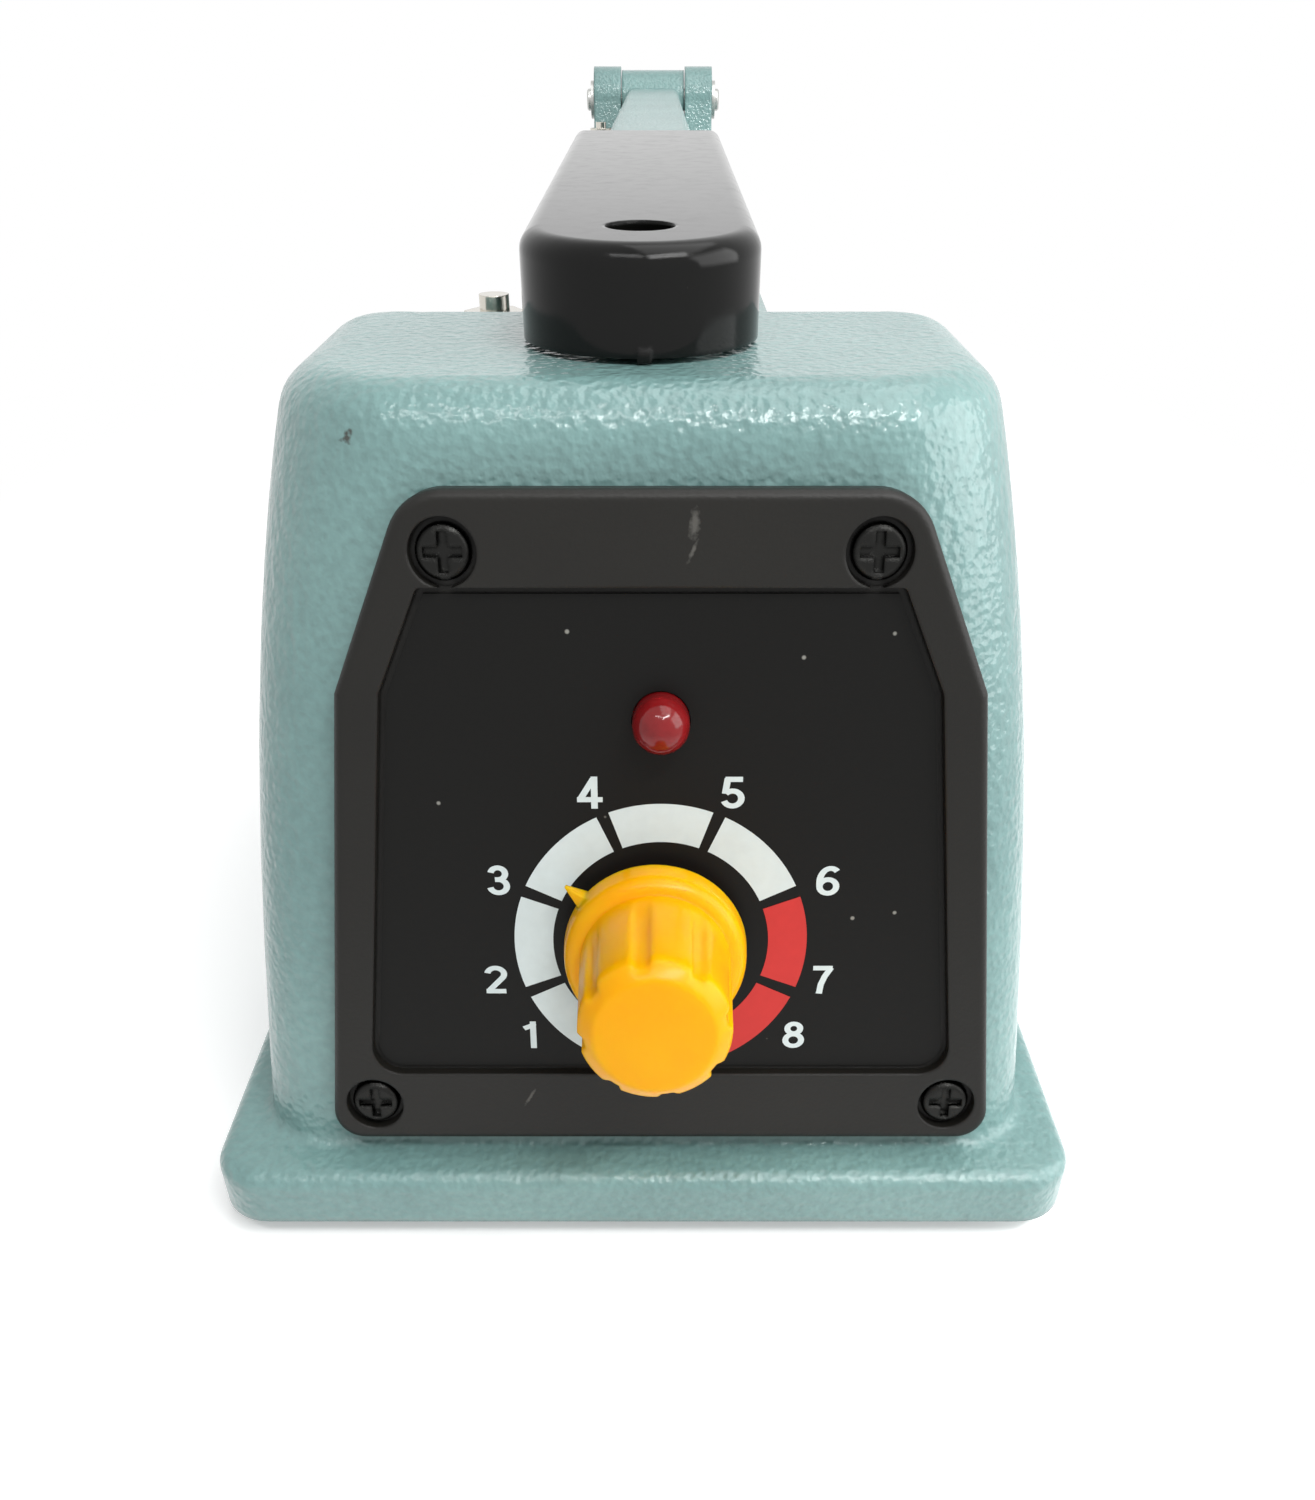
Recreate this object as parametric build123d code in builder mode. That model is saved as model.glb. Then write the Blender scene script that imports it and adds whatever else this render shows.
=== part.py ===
from build123d import *
import os
from math import cos, radians, sin, tan

os.makedirs("parts", exist_ok=True)

# Overall frame: X across the panel, Y from the panel end to the hinge end, Z up
foot_height = 3.0
dial_y = -201.0
dial_z = 33.0
panel_x = 1.8

# Casting
flange_width = 88.4
flange_length = 430.0
flange_top = 9.0
flange_front = dial_y - 8.2
flange_rear = flange_front + flange_length
flange_mid = (flange_front + flange_rear) / 2
wall = 3.5
side_draft = 8.6
panel_lean = 10.5
head_top = 79.5
head_rear = dial_y + 48.2
head_sections = [(3.0, 40.4, 6.5, 6.0), (27.0, 38.6, 7.5, 6.0), (53.0, 36.0, 10.0, 6.5), (79.5, 31.0, 14.0, 7.5)]
beam_top = 63.0
beam_half_top = 20.5
block_front = dial_y + 384.0
block_rear = dial_y + 414.0
pivot_y = dial_y + 400.0
pivot_z = 84.0
ear_radius = 9.0
ear_half = 19.0
slot_half = 10.3
pin_radius = 3.0

# Panel
panel_sink = 1.8
frame_proud = 0.8
label_thickness = 0.5
knob_shift = -0.5
pointer_angle = 142.0

# Sealing bed
bar_front = dial_y + 58.0
bar_rear = dial_y + 362.0
bar_half = 7.0
bar_top = 69.0
cloth_top = 70.15

# Arm and handle
tongue_bottom = 81.2
handle_front = dial_y + 18.5
handle_rear = dial_y + 120.0
handle_half = 10.6
handle_bottom = 80.0
handle_screw_y = dial_y + 28.7
plunger_y = dial_y + 38.0

# Places shared by several pieces
panel_screw_spots = [(-17.9, 35.4), (17.9, 35.4), (-28.6, -17.8), (28.6, -17.8)]
base_screw_spots = [
    (-33, dial_y + 20),
    (33, dial_y + 20),
    (-35, dial_y + 200),
    (35, dial_y + 200),
    (-35, dial_y + 388),
    (35, dial_y + 388),
]
foot_spots = [(-34, dial_y + 5), (34, dial_y + 5), (-34, dial_y + 408), (34, dial_y + 408)]
lead_front_y = dial_y + 53.4
lead_rear_y = dial_y + 366.6
bar_screw_ys = [dial_y + 80.0, dial_y + 210.0, dial_y + 340.0]
spring_y = dial_y + 376.5
spring_radius = 4.5
gland_z = 24.0
core_y = dial_y + 112.0
core_bottom = 4.5
core_screw_ys = [core_y - 35.0, core_y + 35.0]
plate_thickness = 1.5
led_height = 21.2
screw_seat = -0.6
knob_base = 1.8
skirt_height = 3.6
knob_tip = 18.4
rod_top = 80.9
strap_bottom = 68.8
stud_top = 79.6
terminal_spots = [(3.4, lead_front_y), (-16, lead_front_y), (3.4, lead_rear_y), (-16, lead_rear_y)]
clamp_screw_ys = [dial_y + 75.0, dial_y + 143.0, dial_y + 211.0, dial_y + 279.0, dial_y + 345.0]
arm_bottom = 80.8
arm_top = 87.2
rib_front = dial_y + 58.0
rib_rear = dial_y + 363.0
rib_bottom = 73.8
pad_bottom = 70.5
handle_top_front = 88.3
handle_top_rear = 90.9
screw_ledge = 85.7
spring_base = 62.0
spring_turns = 5.5
frame_corners = [(-33.3, -22.1), (33.3, -22.1), (28.2, 23.6), (21.0, 40.3), (-21.0, 40.3), (-28.2, 23.6)]
label_corners = [(-27.9, -13.7), (27.9, -13.7), (23.7, 23.5), (19.9, 32.0), (-19.9, 32.0), (-23.7, 23.5)]

lean_y = tan(radians(panel_lean))
panel_axis = Axis((panel_x, dial_y, dial_z), (0, -cos(radians(panel_lean)), sin(radians(panel_lean))))
draft = tan(radians(side_draft))
bar_mid = (bar_front + bar_rear) / 2
bar_length = bar_rear - bar_front


def casting_front(z, depth=0.0):
    """Y of the leaning front wall at a height, a depth into the metal."""
    return dial_y + (panel_sink + depth) / cos(radians(panel_lean)) + (z - dial_z) * lean_y


def beam_half(z, depth=0.0):
    """Half width of the beam between its drafted sides at a height."""
    return beam_half_top + (beam_top - z) * draft - depth


def on_panel(out):
    """Plane parallel to the dial label, a distance out of it."""
    normal = (0, -cos(radians(panel_lean)), sin(radians(panel_lean)))
    return Plane(origin=(panel_x, dial_y, dial_z), x_dir=(1, 0, 0), z_dir=normal).offset(out)


# Head: leaning front, drafted sides, and corners that grow softer towards the top
with BuildPart() as head_form:
    for z, half, front_radius, rear_radius in head_sections:
        with BuildSketch(Plane.XY.offset(z)) as head_section:
            with Locations((0, (casting_front(z) + head_rear) / 2)):
                Rectangle(2 * half, head_rear - casting_front(z))
            fillet(head_section.vertices().group_by(Axis.Y)[0], radius=front_radius)
            fillet(head_section.vertices().group_by(Axis.Y)[-1], radius=rear_radius)
    loft()
    fillet(head_form.edges().group_by(Axis.Z)[-1], radius=5)

# Hollow inside the head
with BuildPart() as head_hollow:
    for z, half in [(3.0, 40.4 - wall), (27.0, 38.9 - wall), (head_top - wall, 31.5 - wall - 2)]:
        with BuildSketch(Plane.XY.offset(z)):
            with Locations((0, (casting_front(z, wall + 1) + head_rear - wall) / 2)):
                Rectangle(2 * half, head_rear - wall - casting_front(z, wall + 1))
    loft(ruled=True)

# Hinge block at the rear end of the beam
with BuildPart() as block_form:
    with BuildSketch(Plane.XY.offset(foot_height)):
        with Locations((0, (block_front - 5 + block_rear) / 2)):
            Rectangle(2 * beam_half(foot_height), block_rear - block_front + 5)
    with BuildSketch(Plane.XY.offset(74)):
        with Locations((0, (block_front + block_rear) / 2)):
            Rectangle(2 * ear_half, block_rear - block_front)
    loft(ruled=True)
    block_uprights = block_form.edges().filter_by(lambda e: abs(e.center().Z - 38) < 5)
    fillet(block_uprights.sort_by(Axis.Y)[2:], radius=4)

# Housing: the painted one-piece casting with flange, head, beam and hinge ears
with BuildPart() as housing:
    with BuildSketch(Plane.XY.offset(foot_height)):
        with Locations((0, flange_mid)):
            RectangleRounded(flange_width, flange_length, 5.5)
    extrude(amount=flange_top - foot_height)
    fillet(housing.faces().sort_by(Axis.Z)[-1].edges(), radius=1.6)
    add(head_form.part)
    # Fillet that runs the head into the flange
    foot_line = housing.edges().filter_by(lambda e: abs(e.center().Z - flange_top) < 0.02)
    fillet(foot_line.filter_by(lambda e: e.length < 86 and e.center().Y < head_rear), radius=1.2)
    with BuildSketch(Plane.XZ.offset(-head_rear + 8)):
        with BuildLine():
            Polyline(
                (-beam_half(foot_height), foot_height),
                (beam_half(foot_height), foot_height),
                (beam_half_top, beam_top),
                (-beam_half_top, beam_top),
                close=True,
            )
        make_face()
    extrude(amount=-(block_rear - 10 - head_rear + 8))
    add(block_form.part)
    with BuildSketch(Plane.YZ.offset(-ear_half)):
        with BuildLine():
            Polyline(
                (pivot_y - 13, 70),
                (pivot_y + 12, 70),
                (pivot_y + ear_radius, pivot_z),
                (pivot_y - ear_radius, pivot_z),
                close=True,
            )
        make_face()
        with Locations((pivot_y, pivot_z)):
            Circle(ear_radius)
    extrude(amount=2 * ear_half)
    with Locations((0, pivot_y, 74.5 + 15)):
        Box(2 * slot_half, 60, 30, mode=Mode.SUBTRACT)
    with BuildSketch(Plane.YZ.offset(-ear_half - 2)):
        with Locations((pivot_y, pivot_z)):
            Circle(pin_radius + 0.05)
    extrude(amount=2 * ear_half + 4, mode=Mode.SUBTRACT)
    add(head_hollow.part, mode=Mode.SUBTRACT)
    with BuildSketch(Plane.XZ.offset(-head_rear + 12)):
        with BuildLine():
            Polyline(
                (-beam_half(foot_height, wall), foot_height),
                (beam_half(foot_height, wall), foot_height),
                (beam_half_top - wall, beam_top - wall),
                (-beam_half_top + wall, beam_top - wall),
                close=True,
            )
        make_face()
    extrude(amount=-(block_rear - wall - head_rear + 12), mode=Mode.SUBTRACT)
    with BuildSketch(Plane.XY.offset(foot_height)):
        with Locations((0, flange_mid)):
            RectangleRounded(flange_width - 5.6, flange_length - 5.6, 2.7)
    extrude(amount=1.5, mode=Mode.SUBTRACT)
    # Window behind the control panel and the holes for its screws
    with BuildSketch(on_panel(-15)):
        with Locations((0, 8)):
            RectangleRounded(46, 44, 3)
    extrude(amount=15, mode=Mode.SUBTRACT)
    with BuildSketch(on_panel(-15)):
        with Locations(*panel_screw_spots):
            Circle(1.25)
    extrude(amount=15, mode=Mode.SUBTRACT)
    # Guide hole for the switch push rod, with its boss under the roof
    with Locations((0, plunger_y, head_top - wall - 1.5)):
        Cylinder(6, 3.4)
    with Locations((0, plunger_y, head_top - 5)):
        Cylinder(2.55, 14, mode=Mode.SUBTRACT)
    # Bosses for the front base screws, and a hole for every base screw
    with Locations((-33, dial_y + 20, 15), (33, dial_y + 20, 15)):
        Cylinder(4.5, 21)
    with Locations(*[(x, y, 6) for x, y in base_screw_spots]):
        Cylinder(1.5, 5, mode=Mode.SUBTRACT)
    # Holes in the beam for the supply leads and the bed screws
    with Locations((-16, lead_front_y, beam_top - 2), (-16, lead_rear_y, beam_top - 2)):
        Cylinder(2.2, 10, mode=Mode.SUBTRACT)
    with Locations(*[(0, y, beam_top - 2) for y in bar_screw_ys]):
        Cylinder(2, 10, mode=Mode.SUBTRACT)
    # Spring seat between the bed and the hinge block
    with Locations((0, spring_y, beam_top - 0.5)):
        Cylinder(spring_radius + 0.6, 1, mode=Mode.SUBTRACT)
    # Cord entry in the rear wall
    with Locations(Location((0, block_rear - 2, gland_z), (90, 0, 0))):
        Cylinder(6.1, 14, mode=Mode.SUBTRACT)
housing.part.label = "housing"
export_step(housing.part, "parts/housing.step")

# Base plate: steel sheet that closes the casting from below
with BuildPart() as base_plate:
    with BuildSketch(Plane.XY.offset(foot_height)):
        with Locations((0, flange_mid)):
            RectangleRounded(flange_width - 6.2, flange_length - 6.2, 2.4)
    extrude(amount=plate_thickness)
    with Locations(*[(x, y, foot_height) for x, y in base_screw_spots]):
        Cylinder(1.6, 6, mode=Mode.SUBTRACT)
    with Locations(*[(x, y, foot_height) for x, y in foot_spots]):
        Cylinder(2.5, 6, mode=Mode.SUBTRACT)
    with Locations(*[(0, y, foot_height) for y in core_screw_ys]):
        Cylinder(1.6, 6, mode=Mode.SUBTRACT)
    with Locations((0, dial_y + 230, foot_height)):
        with GridLocations(1, 9, 1, 7):
            Box(28, 3, 6, mode=Mode.SUBTRACT)
base_plate.part.label = "base_plate"
export_step(base_plate.part, "parts/base_plate.step")

# Base screws: pan heads under the plate
with BuildPart() as base_screws:
    with Locations(*[(x, y, foot_height - 0.7) for x, y in base_screw_spots]):
        Cylinder(2.8, 1.4)
    with Locations(*[(x, y, foot_height + 2.5) for x, y in base_screw_spots]):
        Cylinder(1.5, 5)
base_screws.part.label = "base_screws"
export_step(base_screws.part, "parts/base_screws.step")

# Rubber feet: round pads with a stub pressed into the plate
with BuildPart() as rubber_feet:
    with BuildSketch(Plane.XY):
        with Locations(*foot_spots):
            Circle(6)
    extrude(amount=foot_height, taper=6)
    with BuildSketch(Plane.XY.offset(foot_height)):
        with Locations(*foot_spots):
            Circle(2.5)
    extrude(amount=plate_thickness)
rubber_feet.part.label = "rubber_feet"
export_step(rubber_feet.part, "parts/rubber_feet.step")

# Control panel: moulded frame with a sunk seat for the dial label
with BuildPart() as control_panel:
    with BuildSketch(on_panel(-panel_sink)) as frame_outline:
        Polygon(*frame_corners, align=None)
        fillet(frame_outline.vertices().group_by(Axis.Y)[0], radius=3)
        fillet(frame_outline.vertices().group_by(Axis.Y)[-1], radius=5)
    extrude(amount=panel_sink + frame_proud)
    fillet(control_panel.faces().sort_by(panel_axis)[-1].edges(), radius=0.9)
    with BuildSketch(on_panel(-label_thickness)) as label_seat:
        Polygon(*label_corners, align=None)
        fillet(label_seat.vertices().group_by(Axis.Y)[0], radius=2.2)
        offset(amount=0.6)
    extrude(amount=4, mode=Mode.SUBTRACT)
    with BuildSketch(on_panel(screw_seat)):
        with Locations(*panel_screw_spots):
            Circle(2.85)
    extrude(amount=4, mode=Mode.SUBTRACT)
    with BuildSketch(on_panel(-4.8)):
        with Locations((0, 8)):
            RectangleRounded(45, 43, 3)
            Rectangle(41, 39, mode=Mode.SUBTRACT)
    extrude(amount=3)
    with BuildSketch(on_panel(-6)):
        with Locations(*panel_screw_spots):
            Circle(1.35)
        with Locations((0, led_height)):
            Circle(2.6)
        with Locations((knob_shift, 0)):
            Circle(3.6)
    extrude(amount=8, mode=Mode.SUBTRACT)
control_panel.part.label = "control_panel"
export_step(control_panel.part, "parts/control_panel.step")

# Dial label: printed sheet in the seat of the frame
with BuildPart() as dial_label:
    with BuildSketch(on_panel(-label_thickness)) as label_outline:
        Polygon(*label_corners, align=None)
        fillet(label_outline.vertices().group_by(Axis.Y)[0], radius=2.2)
        with Locations((0, led_height)):
            Circle(2.6, mode=Mode.SUBTRACT)
        with Locations((knob_shift, 0)):
            Circle(3.6, mode=Mode.SUBTRACT)
    extrude(amount=label_thickness)
dial_label.part.label = "dial_label"
export_step(dial_label.part, "parts/dial_label.step")

# Panel screws: cross recessed, sunk in the frame's round pockets
with BuildPart() as panel_screws:
    with BuildSketch(on_panel(screw_seat)):
        with Locations(*panel_screw_spots):
            Circle(2.35)
    extrude(amount=1.2)
    fillet(panel_screws.faces().sort_by(panel_axis)[-4:].edges(), radius=0.7)
    with BuildSketch(on_panel(screw_seat + 0.4)):
        with Locations(*panel_screw_spots):
            Rectangle(3.3, 0.85)
            Rectangle(0.85, 3.3)
    extrude(amount=2, mode=Mode.SUBTRACT)
    with BuildSketch(on_panel(-8.5)):
        with Locations(*panel_screw_spots):
            Circle(1.2)
    extrude(amount=8.5 + screw_seat)
panel_screws.part.label = "panel_screws"
export_step(panel_screws.part, "parts/panel_screws.step")

# Indicator lamp: red moulded body with a domed nose and a rim behind the frame
with BuildPart() as indicator_lamp:
    with BuildSketch(on_panel(-6.5)):
        with Locations((0, led_height)):
            Circle(2.5)
    extrude(amount=8)
    with BuildSketch(on_panel(-2.8)):
        with Locations((0, led_height)):
            Circle(3.0)
    extrude(amount=1)
    with Locations(on_panel(1.5).location * Location((0, led_height, 0))):
        Sphere(2.5)
indicator_lamp.part.label = "indicator_lamp"
export_step(indicator_lamp.part, "parts/indicator_lamp.step")

# Timer potentiometer: round can with a threaded bushing through the frame
with BuildPart() as timer_control:
    with BuildSketch(on_panel(-11)):
        with Locations((knob_shift, 0)):
            Circle(8.2)
    extrude(amount=11 - panel_sink)
    with BuildSketch(on_panel(-panel_sink)):
        with Locations((knob_shift, 0)):
            Circle(3.5)
    extrude(amount=panel_sink + 1.6)
    with BuildSketch(on_panel(-7.5)):
        with Locations((knob_shift, 0)):
            Circle(3.05)
    extrude(amount=12, mode=Mode.SUBTRACT)
timer_control.part.label = "timer_control"
export_step(timer_control.part, "parts/timer_control.step")

# Nut that holds the potentiometer to the label and frame
with BuildPart() as timer_nut:
    with BuildSketch(on_panel(0)):
        with Locations((knob_shift, 0)):
            RegularPolygon(5.8, 6)
            Circle(3.52, mode=Mode.SUBTRACT)
    extrude(amount=1.5)
timer_nut.part.label = "timer_nut"
export_step(timer_nut.part, "parts/timer_nut.step")

# Timer shaft: turns in the bushing and carries the knob
with BuildPart() as timer_shaft:
    with BuildSketch(on_panel(-7)):
        with Locations((knob_shift, 0)):
            Circle(3)
    extrude(amount=21)
timer_shaft.part.label = "timer_shaft"
export_step(timer_shaft.part, "parts/timer_shaft.step")

# Grip of the knob: round core with five broad ribs that end short of the bevelled tip
rib_length = 17.6 - knob_base - skirt_height + 0.2
with BuildPart() as grip_form:
    with BuildSketch(on_panel(17.6 - rib_length)):
        with Locations((knob_shift, 0)):
            Circle(5.95)
            with PolarLocations(3.5, 5, start_angle=pointer_angle - 9.5):
                Rectangle(7, 4.15)
    extrude(amount=rib_length)
    with Locations(on_panel(17.6 - rib_length / 2).location * Location((knob_shift, 0, 0))):
        Cone(6.85, 6.4, rib_length, mode=Mode.INTERSECT)
        Cone(6.0 + rib_length, 6.0, rib_length, mode=Mode.INTERSECT)
    with Locations(on_panel(knob_tip - 0.4).location * Location((knob_shift, 0, 0))):
        Cone(5.9, 5.0, 0.8)

# Timer knob: skirt with a pointer nib, and the ribbed grip on it
with BuildPart() as timer_knob:
    with BuildSketch(on_panel(knob_base)):
        with Locations((knob_shift, 0)):
            Circle(8.5)
    extrude(amount=skirt_height, taper=6.3)
    with BuildSketch(on_panel(knob_base)):
        with Locations((knob_shift, 0)):
            with PolarLocations(8, 1, start_angle=pointer_angle):
                Polygon((0, -1.0), (2.4, -0.15), (2.4, 0.15), (0, 1.0), align=None)
    extrude(amount=1.3)
    add(grip_form.part)
    with BuildSketch(on_panel(knob_base)):
        with Locations((knob_shift, 0)):
            Circle(3)
    extrude(amount=14.2 - knob_base, mode=Mode.SUBTRACT)
timer_knob.part.label = "timer_knob"
export_step(timer_knob.part, "parts/timer_knob.step")

# Circuit board behind the panel
with BuildPart() as circuit_board:
    with BuildSketch(on_panel(-12.5)):
        with Locations((0, 9)):
            Rectangle(40, 38)
    extrude(amount=1.5)
circuit_board.part.label = "circuit_board"
export_step(circuit_board.part, "parts/circuit_board.step")

# Relay on the back of the board
with BuildPart() as relay:
    with BuildSketch(on_panel(-26.5)):
        with Locations((8, 0)):
            Rectangle(19, 15)
    extrude(amount=14)
relay.part.label = "relay"
export_step(relay.part, "parts/relay.step")

# Timing capacitor on the back of the board
with BuildPart() as timing_capacitor:
    with BuildSketch(on_panel(-26.5)):
        with Locations((-10, 0)):
            Circle(5)
    extrude(amount=14)
timing_capacitor.part.label = "timing_capacitor"
export_step(timing_capacitor.part, "parts/timing_capacitor.step")

# Switch push rod: stands through the head under the handle, with a collar inside
with BuildPart() as push_rod:
    with Locations((0, plunger_y, (66 + rod_top) / 2)):
        Cylinder(2.5, rod_top - 66)
    fillet(push_rod.faces().sort_by(Axis.Z)[-1].edges(), radius=0.6)
    with Locations((0, plunger_y, 71.6)):
        Cylinder(4, 1.6)
    with Locations((0, plunger_y, 63.5)):
        Cylinder(1.2, 5)
push_rod.part.label = "push_rod"
export_step(push_rod.part, "parts/push_rod.step")

# Microswitch that the push rod closes
with BuildPart() as microswitch:
    with Locations((0, plunger_y, 55.5)):
        Box(27.8, 10.4, 15.8)
    with Locations((0, plunger_y, 61)):
        Cylinder(1.25, 6, mode=Mode.SUBTRACT)
    with Locations((-8, plunger_y, 45.6), (0, plunger_y, 45.6), (8, plunger_y, 45.6)):
        Box(0.8, 6.3, 4)
microswitch.part.label = "microswitch"
export_step(microswitch.part, "parts/microswitch.step")

# Bracket between the microswitch and the head's rear wall
with BuildPart() as switch_bracket:
    with Locations((0, head_rear - wall - 0.65, 55)):
        Box(24, 1.3, 16)
switch_bracket.part.label = "switch_bracket"
export_step(switch_bracket.part, "parts/switch_bracket.step")

# Transformer core: stacked laminations with two windows
with BuildPart() as transformer_core:
    with Locations((0, core_y, core_bottom + 24)):
        Box(24, 57, 48)
    with Locations((0, core_y - 14.25, core_bottom + 24), (0, core_y + 14.25, core_bottom + 24)):
        Box(30, 9.5, 28.5, mode=Mode.SUBTRACT)
transformer_core.part.label = "transformer_core"
export_step(transformer_core.part, "parts/transformer_core.step")

# Transformer winding on the centre leg
with BuildPart() as transformer_winding:
    with Locations((0, core_y, core_bottom + 24)):
        Box(36, 37, 28)
        Box(24.2, 19.2, 30, mode=Mode.SUBTRACT)
    fillet(transformer_winding.edges().filter_by(Axis.Z).sort_by(lambda e: abs(e.center().X))[4:], radius=3)
transformer_winding.part.label = "transformer_winding"
export_step(transformer_winding.part, "parts/transformer_winding.step")

# Transformer strap: bent steel band over the core with a foot at each end
with BuildPart() as transformer_strap:
    with BuildSketch(Plane.YZ.offset(-9)):
        with BuildLine():
            Polyline(
                (core_y - 40, core_bottom),
                (core_y - 28.5, core_bottom),
                (core_y - 28.5, core_bottom + 48),
                (core_y + 28.5, core_bottom + 48),
                (core_y + 28.5, core_bottom),
                (core_y + 40, core_bottom),
                (core_y + 40, core_bottom + 1),
                (core_y + 29.5, core_bottom + 1),
                (core_y + 29.5, core_bottom + 49),
                (core_y - 29.5, core_bottom + 49),
                (core_y - 29.5, core_bottom + 1),
                (core_y - 40, core_bottom + 1),
                close=True,
            )
        make_face()
    extrude(amount=18)
    with Locations(*[(0, y, core_bottom) for y in core_screw_ys]):
        Cylinder(1.6, 6, mode=Mode.SUBTRACT)
transformer_strap.part.label = "transformer_strap"
export_step(transformer_strap.part, "parts/transformer_strap.step")

# Transformer screws: from below through plate and strap, with nuts on top
with BuildPart() as transformer_screws:
    with Locations(*[(0, y, foot_height - 0.7) for y in core_screw_ys]):
        Cylinder(2.8, 1.4)
    with Locations(*[(0, y, foot_height + 3.5) for y in core_screw_ys]):
        Cylinder(1.5, 7)
    with BuildSketch(Plane.XY.offset(core_bottom + 1)):
        with Locations(*[(0, y) for y in core_screw_ys]):
            RegularPolygon(3.2, 6)
    extrude(amount=2.4)
transformer_screws.part.label = "transformer_screws"
export_step(transformer_screws.part, "parts/transformer_screws.step")

# Sealing bar: aluminium bed on the beam
with BuildPart() as sealing_bar:
    with Locations((0, bar_mid, (beam_top + bar_top) / 2)):
        Box(2 * bar_half, bar_length, bar_top - beam_top)
    with Locations(*[(0, y, beam_top + 3) for y in bar_screw_ys]):
        Cylinder(2.1, 8, mode=Mode.SUBTRACT)
    with Locations(*[(0, y, bar_top - 1.3) for y in bar_screw_ys]):
        Cylinder(3.8, 2.6, mode=Mode.SUBTRACT)
    with Locations(*[Location((0, y, 65.6), (0, 90, 0)) for y in clamp_screw_ys]):
        Cylinder(1.25, 30, mode=Mode.SUBTRACT)
sealing_bar.part.label = "sealing_bar"
export_step(sealing_bar.part, "parts/sealing_bar.step")

# Bar screws: flush heads under the insulating strip
with BuildPart() as bar_screws:
    with Locations(*[(0, y, bar_top - 1.35) for y in bar_screw_ys]):
        Cylinder(3.6, 2.5)
    with Locations(*[(0, y, beam_top + 0.7) for y in bar_screw_ys]):
        Cylinder(1.95, 7.6)
bar_screws.part.label = "bar_screws"
export_step(bar_screws.part, "parts/bar_screws.step")

# Insulating strip under the heating element
with BuildPart() as insulating_strip:
    with Locations((0, bar_mid, bar_top + 0.3)):
        Box(12, bar_length, 0.6)
insulating_strip.part.label = "insulating_strip"
export_step(insulating_strip.part, "parts/insulating_strip.step")

# Heating element: flat resistance ribbon that reaches both end terminals
with BuildPart() as heating_element:
    with Locations((0, (lead_front_y + lead_rear_y) / 2, bar_top + 0.75)):
        Box(2.6, lead_rear_y - lead_front_y + 4, 0.3)
heating_element.part.label = "heating_element"
export_step(heating_element.part, "parts/heating_element.step")

# Cover cloth: coated glass cloth over the element and down both sides of the bar
with BuildPart() as cover_cloth:
    with Locations((0, bar_mid, cloth_top - 0.125)):
        Box(2 * bar_half + 0.5, bar_length, 0.25)
    with Locations((-bar_half - 0.125, bar_mid, (64 + cloth_top) / 2), (bar_half + 0.125, bar_mid, (64 + cloth_top) / 2)):
        Box(0.25, bar_length, cloth_top - 64)
    with Locations(*[Location((0, y, 65.6), (0, 90, 0)) for y in clamp_screw_ys]):
        Cylinder(1.3, 30, mode=Mode.SUBTRACT)
cover_cloth.part.label = "cover_cloth"
export_step(cover_cloth.part, "parts/cover_cloth.step")

# Cloth clamps: metal strips that hold the cloth to the sides of the bar
with BuildPart() as cloth_clamps:
    with Locations((-bar_half - 1.15, bar_mid, 65.6), (bar_half + 1.15, bar_mid, 65.6)):
        Box(1.8, bar_length - 8, 4.4)
    with Locations(*[Location((0, y, 65.6), (0, 90, 0)) for y in clamp_screw_ys]):
        Cylinder(1.3, 30, mode=Mode.SUBTRACT)
cloth_clamps.part.label = "cloth_clamps"
export_step(cloth_clamps.part, "parts/cloth_clamps.step")

# Clamp screws in the sides of the bar
with BuildPart() as clamp_screws:
    with Locations(*[Location((-bar_half - 2.7, y, 65.6), (0, 90, 0)) for y in clamp_screw_ys]):
        Cylinder(2.2, 1.3)
    with Locations(*[Location((bar_half + 2.7, y, 65.6), (0, 90, 0)) for y in clamp_screw_ys]):
        Cylinder(2.2, 1.3)
    with Locations(*[Location((-bar_half + 0.45, y, 65.6), (0, 90, 0)) for y in clamp_screw_ys]):
        Cylinder(1.2, 5.1)
    with Locations(*[Location((bar_half - 0.45, y, 65.6), (0, 90, 0)) for y in clamp_screw_ys]):
        Cylinder(1.2, 5.1)
clamp_screws.part.label = "clamp_screws"
export_step(clamp_screws.part, "parts/clamp_screws.step")

# Terminal blocks: moulded insulators at both ends of the bar
with BuildPart() as terminal_blocks:
    with Locations((-7, lead_front_y, (beam_top + strap_bottom) / 2), (-7, lead_rear_y, (beam_top + strap_bottom) / 2)):
        Box(26, 8, strap_bottom - beam_top)
    with Locations(*[(x, y, beam_top + 3) for x, y in terminal_spots]):
        Cylinder(1.7, 8, mode=Mode.SUBTRACT)
terminal_blocks.part.label = "terminal_blocks"
export_step(terminal_blocks.part, "parts/terminal_blocks.step")

# Terminal straps: brass strips from the element to the supply studs
with BuildPart() as terminal_straps:
    with Locations((-7, lead_front_y, strap_bottom + 0.4), (-7, lead_rear_y, strap_bottom + 0.4)):
        Box(24, 7, 0.8)
    with Locations(*[(x, y, strap_bottom) for x, y in terminal_spots]):
        Cylinder(1.7, 8, mode=Mode.SUBTRACT)
terminal_straps.part.label = "terminal_straps"
export_step(terminal_straps.part, "parts/terminal_straps.step")

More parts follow.
